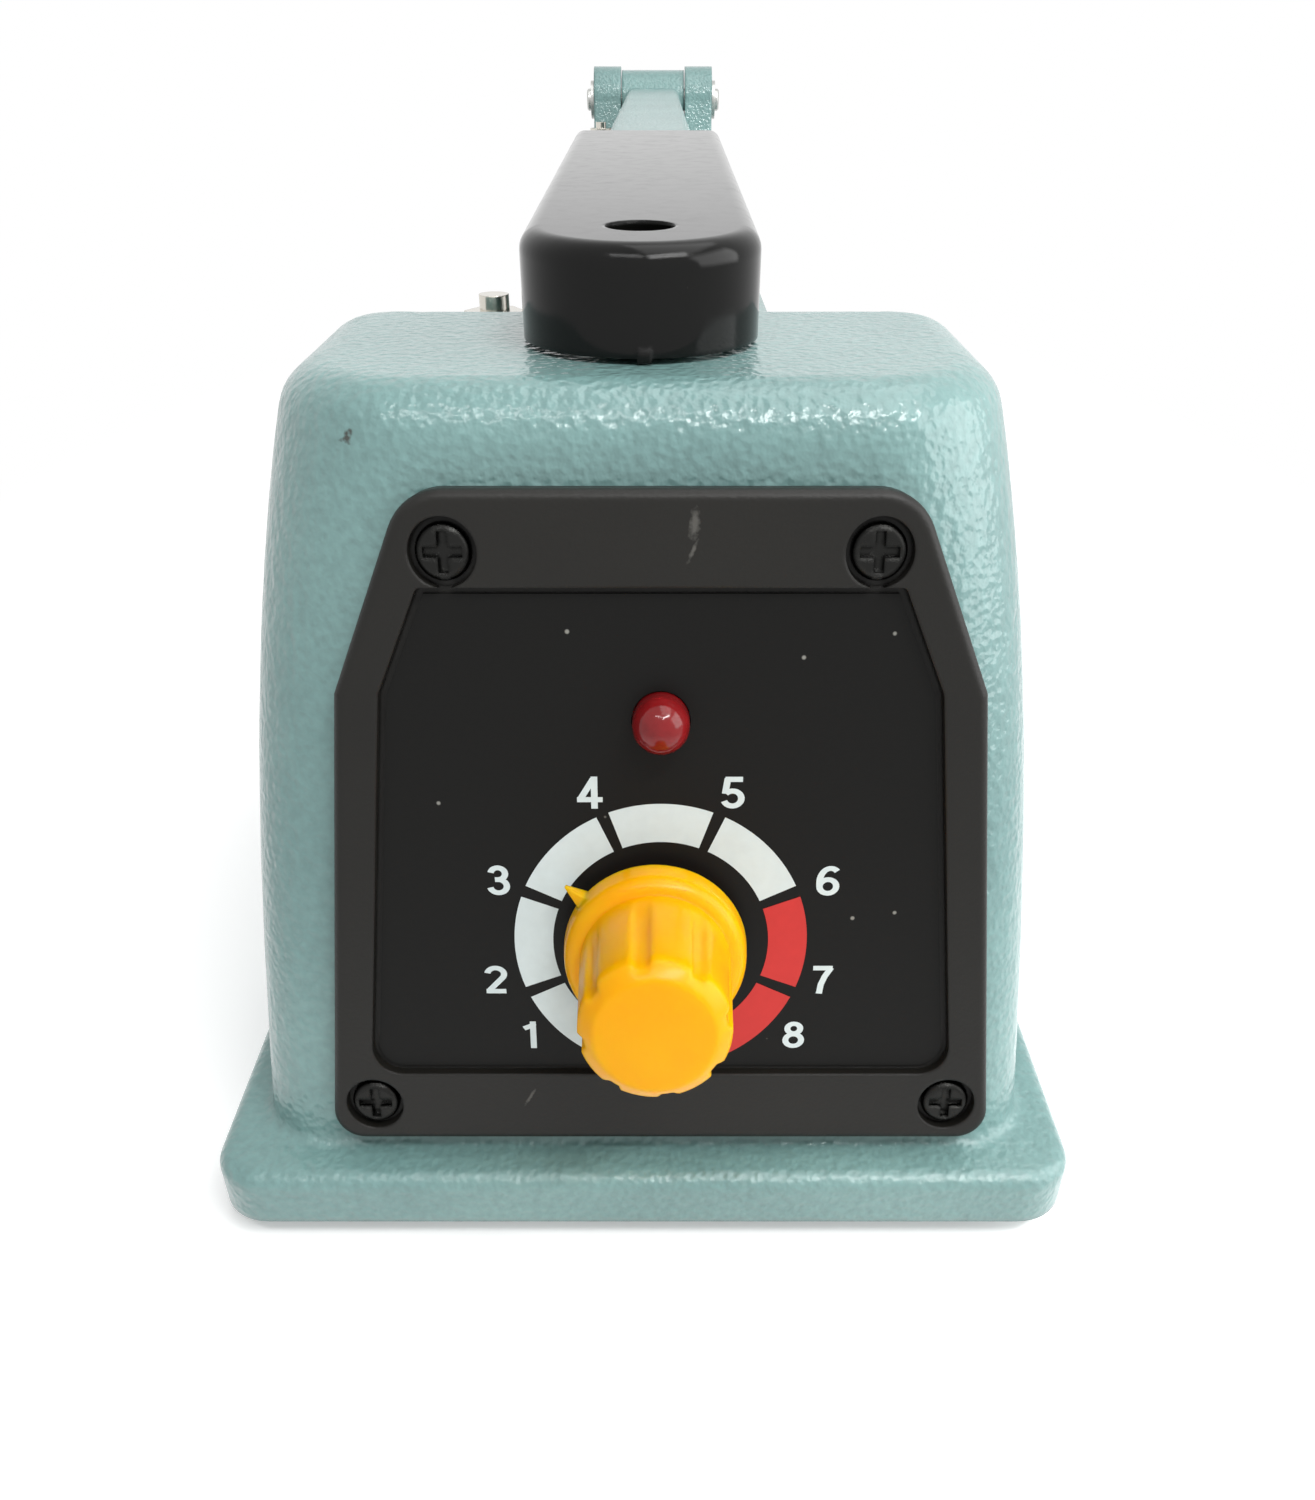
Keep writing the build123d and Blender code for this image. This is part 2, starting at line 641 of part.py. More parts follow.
# Terminal screws: low heads that clamp the element's ends
with BuildPart() as terminal_screws:
    with Locations((3.4, lead_front_y, 70.6), (3.4, lead_rear_y, 70.6)):
        Cylinder(2.7, 1.4)
    with Locations((3.4, lead_front_y, 67.4), (3.4, lead_rear_y, 67.4)):
        Cylinder(1.5, 5)
terminal_screws.part.label = "terminal_screws"
export_step(terminal_screws.part, "parts/terminal_screws.step")

# Supply studs: plated studs with nuts, the tallest pieces at the bed's ends
with BuildPart() as supply_studs:
    with Locations((-16, lead_front_y, (beam_top + stud_top) / 2), (-16, lead_rear_y, (beam_top + stud_top) / 2)):
        Cylinder(1.6, stud_top - beam_top)
    with BuildSketch(Plane.XY.offset(strap_bottom + 0.8)):
        with Locations((-16, lead_front_y), (-16, lead_rear_y)):
            Circle(3.4)
    extrude(amount=0.8)
    with BuildSketch(Plane.XY.offset(strap_bottom + 1.6)):
        with Locations((-16, lead_front_y), (-16, lead_rear_y)):
            RegularPolygon(3.3, 6)
    extrude(amount=2.6)
    with BuildSketch(Plane.XY.offset(stud_top - 4.2)):
        with Locations((-16, lead_front_y), (-16, lead_rear_y)):
            RegularPolygon(3.3, 6)
    extrude(amount=2.6)
supply_studs.part.label = "supply_studs"
export_step(supply_studs.part, "parts/supply_studs.step")

# Pressing arm: cast bar with a grooved rib below and a knuckle at the hinge
with BuildPart() as pressing_arm:
    with Locations((0, (handle_front + 6 + handle_rear + 1) / 2, tongue_bottom + 1.5)):
        Box(16, handle_rear + 1 - handle_front - 6, 3)
    with Locations((0, (handle_rear + 1 + pivot_y) / 2, (arm_bottom + arm_top) / 2)):
        Box(16, pivot_y - handle_rear - 1, arm_top - arm_bottom)
    fillet(pressing_arm.edges().filter_by(Axis.Y).group_by(Axis.Z)[-1], radius=1.6)
    with Locations((0, (rib_front + rib_rear) / 2, (rib_bottom + tongue_bottom + 1) / 2)):
        Box(11, rib_rear - rib_front, tongue_bottom + 1 - rib_bottom)
    with Locations((0, (rib_front + rib_rear) / 2, rib_bottom + 1.5)):
        Box(5, rib_rear - rib_front + 2, 3, mode=Mode.SUBTRACT)
    with Locations(Location((0, pivot_y, pivot_z), (0, 90, 0))):
        Cylinder(8, 20)
        Cylinder(pin_radius + 0.05, 24, mode=Mode.SUBTRACT)
    with Locations((0, handle_screw_y, tongue_bottom)):
        Cylinder(1.5, 10, mode=Mode.SUBTRACT)
pressing_arm.part.label = "pressing_arm"
export_step(pressing_arm.part, "parts/pressing_arm.step")

# Pressure pad: silicone strip with a stem held in the groove of the rib
with BuildPart() as pressure_pad:
    with Locations((0, bar_mid, (pad_bottom + rib_bottom) / 2)):
        Box(10, bar_length, rib_bottom - pad_bottom)
    fillet(pressure_pad.edges().filter_by(Axis.Y).group_by(Axis.Z)[0], radius=1)
    with Locations((0, bar_mid, rib_bottom + 1.5)):
        Box(5, bar_length, 3)
pressure_pad.part.label = "pressure_pad"
export_step(pressure_pad.part, "parts/pressure_pad.step")

# Handle: moulded cap over the front of the arm
with BuildPart() as handle:
    with BuildSketch(Plane.XY.offset(handle_bottom)):
        with Locations((0, (handle_front + handle_half + handle_rear) / 2)):
            Rectangle(2 * handle_half, handle_rear - handle_front - handle_half)
        with Locations((0, handle_front + handle_half)):
            Circle(handle_half)
    extrude(amount=14)
    with BuildSketch(Plane.YZ.offset(-20)):
        Polygon(
            (handle_front - 5, handle_top_front),
            (handle_rear + 5, handle_top_rear),
            (handle_rear + 5, handle_top_rear + 10),
            (handle_front - 5, handle_top_rear + 10),
            align=None,
        )
    extrude(amount=40, mode=Mode.SUBTRACT)
    fillet(handle.faces().sort_by(Axis.Z)[-1].edges(), radius=1.8)
    with Locations((0, (handle_front + 4.7 + handle_rear + 10) / 2, (handle_bottom - 1 + tongue_bottom + 3.2) / 2)):
        Box(16.4, handle_rear + 10 - handle_front - 4.7, tongue_bottom + 3.2 - handle_bottom + 1, mode=Mode.SUBTRACT)
    with Locations((0, handle_screw_y, handle_bottom + 5)):
        Cylinder(1.6, 12, mode=Mode.SUBTRACT)
    with Locations((0, handle_screw_y, screw_ledge + 5)):
        Cylinder(3.1, 10, mode=Mode.SUBTRACT)
    with Locations((0.4, handle_front + 0.5, handle_bottom + 0.2)):
        Box(1.2, 1.5, 1)
handle.part.label = "handle"
export_step(handle.part, "parts/handle.step")

# Handle screw at the bottom of the round well
with BuildPart() as handle_screw:
    with Locations((0, handle_screw_y, screw_ledge + 0.65)):
        Cylinder(2.6, 1.3)
    with Locations((0, handle_screw_y, screw_ledge + 1.1)):
        Box(3.2, 0.7, 0.6, mode=Mode.SUBTRACT)
        Box(0.7, 3.2, 0.6, mode=Mode.SUBTRACT)
    with Locations((0, handle_screw_y, screw_ledge - 2.2)):
        Cylinder(1.45, 4.4)
handle_screw.part.label = "handle_screw"
export_step(handle_screw.part, "parts/handle_screw.step")

# Hinge pin through both ears and the knuckle
with BuildPart() as hinge_pin:
    with Locations(Location((0, pivot_y, pivot_z), (0, 90, 0))):
        Cylinder(pin_radius, 2 * ear_half + 5)
    chamfer(hinge_pin.edges().filter_by(GeomType.CIRCLE), length=0.4)
hinge_pin.part.label = "hinge_pin"
export_step(hinge_pin.part, "parts/hinge_pin.step")

# Pin clips: retaining washers on both ends of the pin
with BuildPart() as pin_clips:
    with BuildSketch(Plane.YZ.offset(-ear_half - 1.2)):
        with Locations((pivot_y, pivot_z)):
            Circle(5.2)
            Circle(pin_radius, mode=Mode.SUBTRACT)
    extrude(amount=1)
    with BuildSketch(Plane.YZ.offset(ear_half + 0.2)):
        with Locations((pivot_y, pivot_z)):
            Circle(5.2)
            Circle(pin_radius, mode=Mode.SUBTRACT)
    extrude(amount=1)
pin_clips.part.label = "pin_clips"
export_step(pin_clips.part, "parts/pin_clips.step")

# Return spring: helical compression spring that lifts the arm
with BuildPart() as return_spring:
    with BuildLine():
        Helix(pitch=3.1, height=spring_turns * 3.1, radius=spring_radius - 0.7, center=(0, spring_y, spring_base + 0.75))
    with BuildSketch(Plane(origin=(spring_radius - 0.7, spring_y, spring_base + 0.75), z_dir=(0, 1, 0.11))):
        RegularPolygon(0.72, 8)
    sweep(is_frenet=True)
return_spring.part.label = "return_spring"
export_step(return_spring.part, "parts/return_spring.step")

# Cord gland: moulded bushing in the rear wall
with BuildPart() as cord_gland:
    with Locations(Location((0, block_rear + 1.2, gland_z), (90, 0, 0))):
        Cylinder(9, 2.4)
    with Locations(Location((0, block_rear + 4.2, gland_z), (-90, 0, 0))):
        Cone(7.5, 5.5, 4)
    with Locations(Location((0, block_rear - 5, gland_z), (90, 0, 0))):
        Cylinder(6, 10.2)
    with Locations(Location((0, block_rear, gland_z), (90, 0, 0))):
        Cylinder(3.6, 30, mode=Mode.SUBTRACT)
cord_gland.part.label = "cord_gland"
export_step(cord_gland.part, "parts/cord_gland.step")

# Nut that clamps the gland from inside
with BuildPart() as gland_nut:
    with BuildSketch(Plane.XZ.offset(-(block_rear - wall))):
        with Locations((0, gland_z)):
            RegularPolygon(9.4, 6)
            Circle(6.02, mode=Mode.SUBTRACT)
    extrude(amount=3)
gland_nut.part.label = "gland_nut"
export_step(gland_nut.part, "parts/gland_nut.step")
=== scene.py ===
from math import cos, pi, radians, sin

import bpy
import bmesh
from mathutils import Matrix, Vector


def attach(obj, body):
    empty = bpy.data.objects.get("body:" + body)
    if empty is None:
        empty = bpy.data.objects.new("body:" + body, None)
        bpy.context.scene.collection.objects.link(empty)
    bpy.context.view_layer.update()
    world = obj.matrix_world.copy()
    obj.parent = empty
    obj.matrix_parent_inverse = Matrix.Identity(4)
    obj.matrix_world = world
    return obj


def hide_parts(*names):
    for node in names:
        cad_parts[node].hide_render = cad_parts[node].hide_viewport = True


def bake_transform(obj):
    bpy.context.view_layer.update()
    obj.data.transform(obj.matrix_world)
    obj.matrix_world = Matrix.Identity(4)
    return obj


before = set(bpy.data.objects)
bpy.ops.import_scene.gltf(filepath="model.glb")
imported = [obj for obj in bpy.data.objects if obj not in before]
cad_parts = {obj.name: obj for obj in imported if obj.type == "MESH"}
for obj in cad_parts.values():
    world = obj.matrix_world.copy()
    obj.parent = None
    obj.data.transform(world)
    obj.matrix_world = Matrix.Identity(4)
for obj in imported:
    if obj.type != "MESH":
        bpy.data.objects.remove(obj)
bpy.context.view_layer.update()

# Camera: close in front of the control panel and looking down on it, as for a product picture.
# The lens and shift come from the panel's perspective in a frame of 1315 by 1500.
look_down = radians(36.4)
camera_data = bpy.data.cameras.new("camera")
camera = bpy.data.objects.new("camera", camera_data)
bpy.context.collection.objects.link(camera)
bpy.context.scene.camera = camera
camera_data.sensor_width = 36
camera_data.lens = 29.9
camera_data.shift_y = 0.133
camera_data.clip_start = 0.005
camera.location = (0.0015, -0.2963, 0.1022)
camera.rotation_euler = (pi / 2 - look_down, 0, 0)
bpy.context.scene.view_settings.view_transform = "Standard"

# Housing and pressing arm: iron castings with a rough sand-cast skin under a thick coat of
# grey-green hammertone paint, stoved until it flows into small glossy pebbles. A knock has
# chipped it down to dark metal at the upper left of the head.


def linear(hex_colour):
    """Linear red, green, blue and alpha of an sRGB hex colour."""
    parts = [int(hex_colour[i:i + 2], 16) / 255 for i in (0, 2, 4)]
    return [p / 12.92 if p <= 0.04045 else ((p + 0.055) / 1.055) ** 2.4 for p in parts] + [1.0]


def cells(millimetres):
    """A pattern's scale, in cells to the metre, for cells of this size."""
    return 1000 / millimetres


def add_node(owner, kind, settings=None, inputs=None, links=None):
    """Adds a node to a material, a world or a node group, with its options, sockets and links."""
    tree = getattr(owner, "node_tree", owner)
    node = tree.nodes.new(kind)
    for key, value in (settings or {}).items():
        setattr(node, key, value)
    for key, value in (inputs or {}).items():
        node.inputs[key].default_value = value
    for key, source in (links or {}).items():
        tree.links.new(source, node.inputs[key])
    return node


def new_finish(name, roughness, metallic=0.0, ior=1.5, coat=0.0, coat_roughness=0.1):
    """A material with one Principled shader, and that shader."""
    material = bpy.data.materials.new(name)
    material.use_nodes = True
    shader = material.node_tree.nodes["Principled BSDF"]
    shader.inputs["Roughness"].default_value = roughness
    shader.inputs["Metallic"].default_value = metallic
    if metallic < 0.5:
        shader.inputs["IOR"].default_value = ior
    shader.inputs["Coat Weight"].default_value = coat
    shader.inputs["Coat Roughness"].default_value = coat_roughness
    return material, shader


def give(node_name, material):
    """The CAD node takes the material in its one slot."""
    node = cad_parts[node_name]
    node.data.materials.clear()
    node.data.materials.append(material)


paint, paint_shader = new_finish("hammertone paint on cast iron", 0.38, coat=0.7, coat_roughness=0.08)
paint_shader.inputs["Specular IOR Level"].default_value = 0.35
place = add_node(paint, "ShaderNodeTexCoord")
pebbles = add_node(paint, "ShaderNodeTexVoronoi", {"feature": "SMOOTH_F1"},
                   {"Scale": cells(0.741), "Smoothness": 0.6}, {"Vector": place.outputs["Object"]})
waves = add_node(paint, "ShaderNodeTexNoise", None,
                 {"Scale": cells(1.02), "Detail": 2, "Roughness": 0.5}, {"Vector": place.outputs["Object"]})
clouds = add_node(paint, "ShaderNodeTexNoise", None,
                  {"Scale": cells(29.4), "Detail": 4}, {"Vector": place.outputs["Object"]})
tone = add_node(paint, "ShaderNodeValToRGB", None, None, {"Fac": clouds.outputs["Fac"]})
tone.color_ramp.elements[0].position = 0.3
tone.color_ramp.elements[0].color = linear("6F9391")
tone.color_ramp.elements[1].position = 0.72
tone.color_ramp.elements[1].color = linear("80A5A2")
fleck = add_node(paint, "ShaderNodeMapRange", None,
                 {"From Min": 0.3, "From Max": 0.7, "To Min": 0.9, "To Max": 1.06},
                 {"Value": waves.outputs["Fac"]})
speckled = add_node(paint, "ShaderNodeVectorMath", {"operation": "SCALE"}, None,
                    {0: tone.outputs["Color"], "Scale": fleck.outputs["Result"]})
chip_centre = Vector((-0.0239, -0.1905, 0.0757))
chip_outer, chip_inner, chip_ragged = 0.0016, 0.0013, 0.0022
through_skin = Vector((1, 0.2, 1))
flattened = add_node(paint, "ShaderNodeVectorMath", {"operation": "MULTIPLY"}, {1: through_skin},
                     {0: place.outputs["Object"]})
from_chip = add_node(paint, "ShaderNodeVectorMath", {"operation": "DISTANCE"},
                     {1: chip_centre * through_skin}, {0: flattened.outputs["Vector"]})
ragged = add_node(paint, "ShaderNodeMath", {"operation": "MULTIPLY_ADD"}, {1: chip_ragged},
                  {0: waves.outputs["Fac"], 2: from_chip.outputs["Value"]})
chip = add_node(paint, "ShaderNodeMapRange", None, {"From Min": chip_outer, "From Max": chip_inner},
                {"Value": ragged.outputs[0]})
chipped = add_node(paint, "ShaderNodeMix", {"data_type": "RGBA"}, {7: linear("3A3F3A")},
                   {0: chip.outputs["Result"], 6: speckled.outputs["Vector"]})
paint.node_tree.links.new(chipped.outputs[2], paint_shader.inputs["Base Color"])
relief = add_node(paint, "ShaderNodeMath", {"operation": "MULTIPLY_ADD"}, {1: 0.8},
                  {0: pebbles.outputs["Distance"], 2: waves.outputs["Fac"]})
soft_edge = add_node(paint, "ShaderNodeBevel", {"samples": 6}, {"Radius": 0.0012})
skin = add_node(paint, "ShaderNodeBump", None, {"Strength": 0.5, "Distance": 0.00026},
                {"Height": relief.outputs[0], "Normal": soft_edge.outputs["Normal"]})
paint.node_tree.links.new(skin.outputs["Normal"], paint_shader.inputs["Normal"])
paint.node_tree.links.new(skin.outputs["Normal"], paint_shader.inputs["Coat Normal"])
give("housing", paint)
give("pressing_arm", paint)

# Control panel: injection-moulded black plastic frame with a fine spark-eroded texture that
# scatters light. The real grain is near 0.1 mm, too fine to show, so it is drawn coarser.
# Knocks have left pale scuffs: one with a tail above the dial, and a small one below it.
textured, textured_shader = new_finish("black plastic with fine moulded texture", 0.42)
textured_shader.inputs["Specular IOR Level"].default_value = 0.28
place = add_node(textured, "ShaderNodeTexCoord")
grain = add_node(textured, "ShaderNodeTexNoise", None, {"Scale": cells(0.3846), "Detail": 2},
                 {"Vector": place.outputs["Object"]})
handling = add_node(textured, "ShaderNodeTexNoise", None, {"Scale": cells(16.7), "Detail": 4},
                    {"Vector": place.outputs["Object"]})
wear = add_node(textured, "ShaderNodeValToRGB", None, None, {"Fac": handling.outputs["Fac"]})
wear.color_ramp.elements[0].color = linear("151412")
wear.color_ramp.elements[1].color = linear("1F1E1B")
scuffs = (((0.0045, -0.195, 0.0701), 4, (0.0005, 0.004, 0.0014)),
          ((0.0044, -0.195, 0.0681), 25, (0.0002, 0.004, 0.0011)),
          ((-0.0112, -0.2049, 0.0165), 32, (0.0002, 0.003, 0.0012)))
scratched = wear.outputs["Color"]
for centre, slant, half_size in scuffs:
    local = add_node(textured, "ShaderNodeMapping", {"vector_type": "TEXTURE"},
                     {"Location": centre, "Rotation": (0, radians(slant), 0), "Scale": half_size},
                     {"Vector": place.outputs["Object"]})
    reach = add_node(textured, "ShaderNodeVectorMath", {"operation": "LENGTH"}, None,
                     {0: local.outputs["Vector"]})
    uneven = add_node(textured, "ShaderNodeMath", {"operation": "MULTIPLY_ADD"}, {1: 1.2},
                      {0: grain.outputs["Fac"], 2: reach.outputs["Value"]})
    mark = add_node(textured, "ShaderNodeMapRange", None,
                    {"From Min": 1.6, "From Max": 0.9, "To Max": 0.17}, {"Value": uneven.outputs[0]})
    scuffed = add_node(textured, "ShaderNodeMix", {"data_type": "RGBA"}, {7: linear("B5B3AC")},
                       {0: mark.outputs["Result"], 6: scratched})
    scratched = scuffed.outputs[2]
textured.node_tree.links.new(scratched, textured_shader.inputs["Base Color"])
soft_edge = add_node(textured, "ShaderNodeBevel", {"samples": 6}, {"Radius": 0.0005})
dimples = add_node(textured, "ShaderNodeBump", None, {"Strength": 0.3, "Distance": 0.0001},
                   {"Height": grain.outputs["Fac"], "Normal": soft_edge.outputs["Normal"]})
textured.node_tree.links.new(dimples.outputs["Normal"], textured_shader.inputs["Normal"])
give("control_panel", textured)

# Dial label: thin polycarbonate sheet, screen printed black from edge to edge, duller than the
# frame around it, with a few specks of dust.
printed, printed_shader = new_finish("black printed plastic sheet", 0.42)
printed_shader.inputs["Specular IOR Level"].default_value = 0.15
place = add_node(printed, "ShaderNodeTexCoord")
orange_peel = add_node(printed, "ShaderNodeTexNoise", None, {"Scale": cells(0.556), "Detail": 2},
                       {"Vector": place.outputs["Object"]})
dust = add_node(printed, "ShaderNodeTexVoronoi", None, {"Scale": cells(4.348)},
                {"Vector": place.outputs["Object"]})
speck = add_node(printed, "ShaderNodeMapRange", None, {"From Min": 0.055, "From Max": 0.03},
                 {"Value": dust.outputs["Distance"]})
ink = add_node(printed, "ShaderNodeMix", {"data_type": "RGBA"},
               {6: linear("131312"), 7: linear("8C8C86")}, {0: speck.outputs["Result"]})
printed.node_tree.links.new(ink.outputs[2], printed_shader.inputs["Base Color"])
dimples = add_node(printed, "ShaderNodeBump", None, {"Strength": 0.15, "Distance": 0.0001},
                   {"Height": orange_peel.outputs["Fac"]})
printed.node_tree.links.new(dimples.outputs["Normal"], printed_shader.inputs["Normal"])
give("dial_label", printed)

# Dial scale: seven printed segments of a ring round the knob, five white and two red.
# The ink stands a few hundredths of a millimetre proud of the label. Places on the panel are
# given across it, up its lean and out of it, from the dial's centre.
panel_lean = radians(10.5)
panel_turn = Matrix(((1, 0, 0),
                     (0, sin(panel_lean), -cos(panel_lean)),
                     (0, cos(panel_lean), sin(panel_lean))))
dial_centre = (0.0018, -0.201, 0.033)
panel_place = Matrix.Translation(dial_centre) @ panel_turn.to_4x4()
ink_drop, ink_lift = 0.0002, 0.00004
print_place = panel_place @ Matrix.Translation((0, -ink_drop, ink_lift))


def ink_finish(name, hex_colour):
    """Screen-printed ink: flat, slightly uneven colour with a dull gloss."""
    material, shader = new_finish(name, 0.45)
    shader.inputs["Specular IOR Level"].default_value = 0.3
    spot = add_node(material, "ShaderNodeTexCoord")
    mottle = add_node(material, "ShaderNodeTexNoise", None, {"Scale": cells(1.11), "Detail": 3},
                      {"Vector": spot.outputs["Object"]})
    amount = add_node(material, "ShaderNodeMapRange", None, {"To Min": 0.93, "To Max": 1.05},
                      {"Value": mottle.outputs["Fac"]})
    colour = add_node(material, "ShaderNodeVectorMath", {"operation": "SCALE"},
                      {0: linear(hex_colour)[:3]}, {"Scale": amount.outputs["Result"]})
    material.node_tree.links.new(colour.outputs["Vector"], shader.inputs["Base Color"])
    return material


white_ink = ink_finish("white screen ink", "D3E0E1")
red_ink = ink_finish("red screen ink", "C63532")


def place_piece(name, mesh, body, material):
    """A finished mesh as a piece at the origin that moves with a body."""
    piece = bpy.data.objects.new(name, mesh)
    bpy.context.collection.objects.link(piece)
    mesh.materials.clear()
    mesh.materials.append(material)
    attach(piece, body)
    return piece


def segment_tree(name):
    """Geometry nodes: a flat strip bent to a ring segment and repeated round the centre."""
    tree = bpy.data.node_groups.new(name, "GeometryNodeTree")
    sockets = {}
    for label, kind, value in (("Inner radius", "NodeSocketFloat", 0.01015),
                               ("Outer radius", "NodeSocketFloat", 0.0138),
                               ("Span", "NodeSocketFloat", 0.7),
                               ("Step", "NodeSocketFloat", pi / 4),
                               ("First", "NodeSocketFloat", 0.0),
                               ("Count", "NodeSocketInt", 5),
                               ("Ink", "NodeSocketMaterial", None)):
        item = tree.interface.new_socket(label, in_out="INPUT", socket_type=kind)
        if value is not None:
            item.default_value = value
        sockets[label] = item.identifier
    tree.interface.new_socket("Geometry", in_out="OUTPUT", socket_type="NodeSocketGeometry")
    given = add_node(tree, "NodeGroupInput").outputs
    strip = add_node(tree, "GeometryNodeMeshGrid", None,
                     {"Size X": 1, "Size Y": 1, "Vertices X": 25, "Vertices Y": 2})
    position = add_node(tree, "GeometryNodeInputPosition")
    spot = add_node(tree, "ShaderNodeSeparateXYZ", None, None, {0: position.outputs[0]})
    angle = add_node(tree, "ShaderNodeMath", {"operation": "MULTIPLY"}, None,
                     {0: spot.outputs["X"], 1: given["Span"]})
    radius = add_node(tree, "ShaderNodeMapRange", None, {"From Min": 0.5, "From Max": -0.5},
                      {"Value": spot.outputs["Y"], "To Min": given["Inner radius"],
                       "To Max": given["Outer radius"]})
    cosine = add_node(tree, "ShaderNodeMath", {"operation": "COSINE"}, None, {0: angle.outputs[0]})
    sine = add_node(tree, "ShaderNodeMath", {"operation": "SINE"}, None, {0: angle.outputs[0]})
    across = add_node(tree, "ShaderNodeMath", {"operation": "MULTIPLY"}, None,
                      {0: cosine.outputs[0], 1: radius.outputs["Result"]})
    up = add_node(tree, "ShaderNodeMath", {"operation": "MULTIPLY"}, None,
                  {0: sine.outputs[0], 1: radius.outputs["Result"]})
    on_ring = add_node(tree, "ShaderNodeCombineXYZ", None, None, {"X": across.outputs[0], "Y": up.outputs[0]})
    bent = add_node(tree, "GeometryNodeSetPosition", None, None,
                    {"Geometry": strip.outputs["Mesh"], "Position": on_ring.outputs[0]})
    centres = add_node(tree, "GeometryNodePoints", None, None, {"Count": given["Count"]})
    number = add_node(tree, "GeometryNodeInputIndex")
    turn = add_node(tree, "ShaderNodeMath", {"operation": "MULTIPLY_ADD"}, None,
                    {0: number.outputs[0], 1: given["Step"], 2: given["First"]})
    about_axis = add_node(tree, "ShaderNodeCombineXYZ", None, None, {"Z": turn.outputs[0]})
    ring = add_node(tree, "GeometryNodeInstanceOnPoints", None, None,
                    {"Points": centres.outputs[0], "Instance": bent.outputs[0],
                     "Rotation": about_axis.outputs[0]})
    real = add_node(tree, "GeometryNodeRealizeInstances", None, None, {"Geometry": ring.outputs[0]})
    inked = add_node(tree, "GeometryNodeSetMaterial", None, None,
                     {"Geometry": real.outputs[0], "Material": given["Ink"]})
    add_node(tree, "NodeGroupOutput", None, None, {"Geometry": inked.outputs[0]})
    return tree, sockets


def print_segments(name, first_degrees, count, ink_material):
    """Printed ring segments laid on the label, from one angle on, each 45 degrees apart."""
    tree, sockets = segment_tree(name + " layout")
    maker = bpy.data.objects.new(name + "_maker", bpy.data.meshes.new(name + "_maker"))
    bpy.context.collection.objects.link(maker)
    modifier = maker.modifiers.new("segments", "NODES")
    modifier.node_group = tree
    modifier[sockets["First"]] = radians(first_degrees)
    modifier[sockets["Count"]] = count
    modifier[sockets["Ink"]] = ink_material
    evaluated = maker.evaluated_get(bpy.context.evaluated_depsgraph_get())
    mesh = bpy.data.meshes.new_from_object(evaluated)
    bpy.data.objects.remove(maker)
    mesh.transform(print_place)
    place_piece(name, mesh, "base", ink_material)


print_segments("dial_segments_white", 45, 5, white_ink)
print_segments("dial_segments_red", -45, 2, red_ink)

# Dial numbers: 1 to 8 in plain sans figures, drawn with strokes of even width and screen
# printed in white outside the ring, 1 to 4 up its left side and 5 to 8 down its right. Each
# place is a distance in millimetres and an angle in degrees from the ring's centre.
figure_places = {1: (16.3, 218), 2: (16.3, 194), 3: (16.3, 157), 4: (16.15, 113.2),
                 5: (16.2, 66.4), 6: (16.7, 22.2), 7: (16.0, -14.3), 8: (16.45, -37.6)}
figure_height, figure_width = 0.003, 0.0037
half_stroke = 0.08
stroke_lift = 0.000004
bend_steps = 20


def bend(x, y, across, tall, first, last):
    """Points on an ellipse, from one angle in degrees to another."""
    angles = [radians(first + (last - first) * k / bend_steps) for k in range(bend_steps + 1)]
    return [(x + across * cos(angle), y + tall * sin(angle)) for angle in angles]


# The strokes' middle lines, with the height of a figure as 1. Strokes that cross lie a few
# microns apart, so that no two faces share a plane.
figure_strokes = {
    1: [[(0.36, 0), (0.36, 1)], [(0.4, 0.93), (0.3, 0.83), (0.12, 0.74)]],
    2: [bend(0.31, 0.7, 0.215, 0.215, 172, -38) + [(0.13, 0.12)], [(0.045, 0.085), (0.56, 0.085)]],
    3: [bend(0.3, 0.72, 0.18, 0.195, 170, -90) + [(0.22, 0.525)],
        [(0.22, 0.525)] + bend(0.3, 0.305, 0.21, 0.22, 90, -168)],
    4: [[(0.44, 0), (0.44, 1)], [(0.42, 0.93), (0.1, 0.3)], [(0.02, 0.285), (0.64, 0.285)]],
    5: [[(0.55, 0.915), (0.13, 0.915)], [(0.19, 0.95), (0.13, 0.47)],
        bend(0.31, 0.32, 0.215, 0.235, 140, -160)],
    6: [bend(0.31, 0.315, 0.21, 0.23, 0, 360), bend(0.36, 0.47, 0.265, 0.445, 52, 180) + [(0.1, 0.32)]],
    7: [[(0.06, 0.915), (0.56, 0.915)], [(0.52, 0.93), (0.37, 0.62), (0.28, 0.33), (0.245, 0)]],
    8: [bend(0.31, 0.735, 0.17, 0.18, 0, 360), bend(0.31, 0.305, 0.21, 0.22, 0, 360)]}

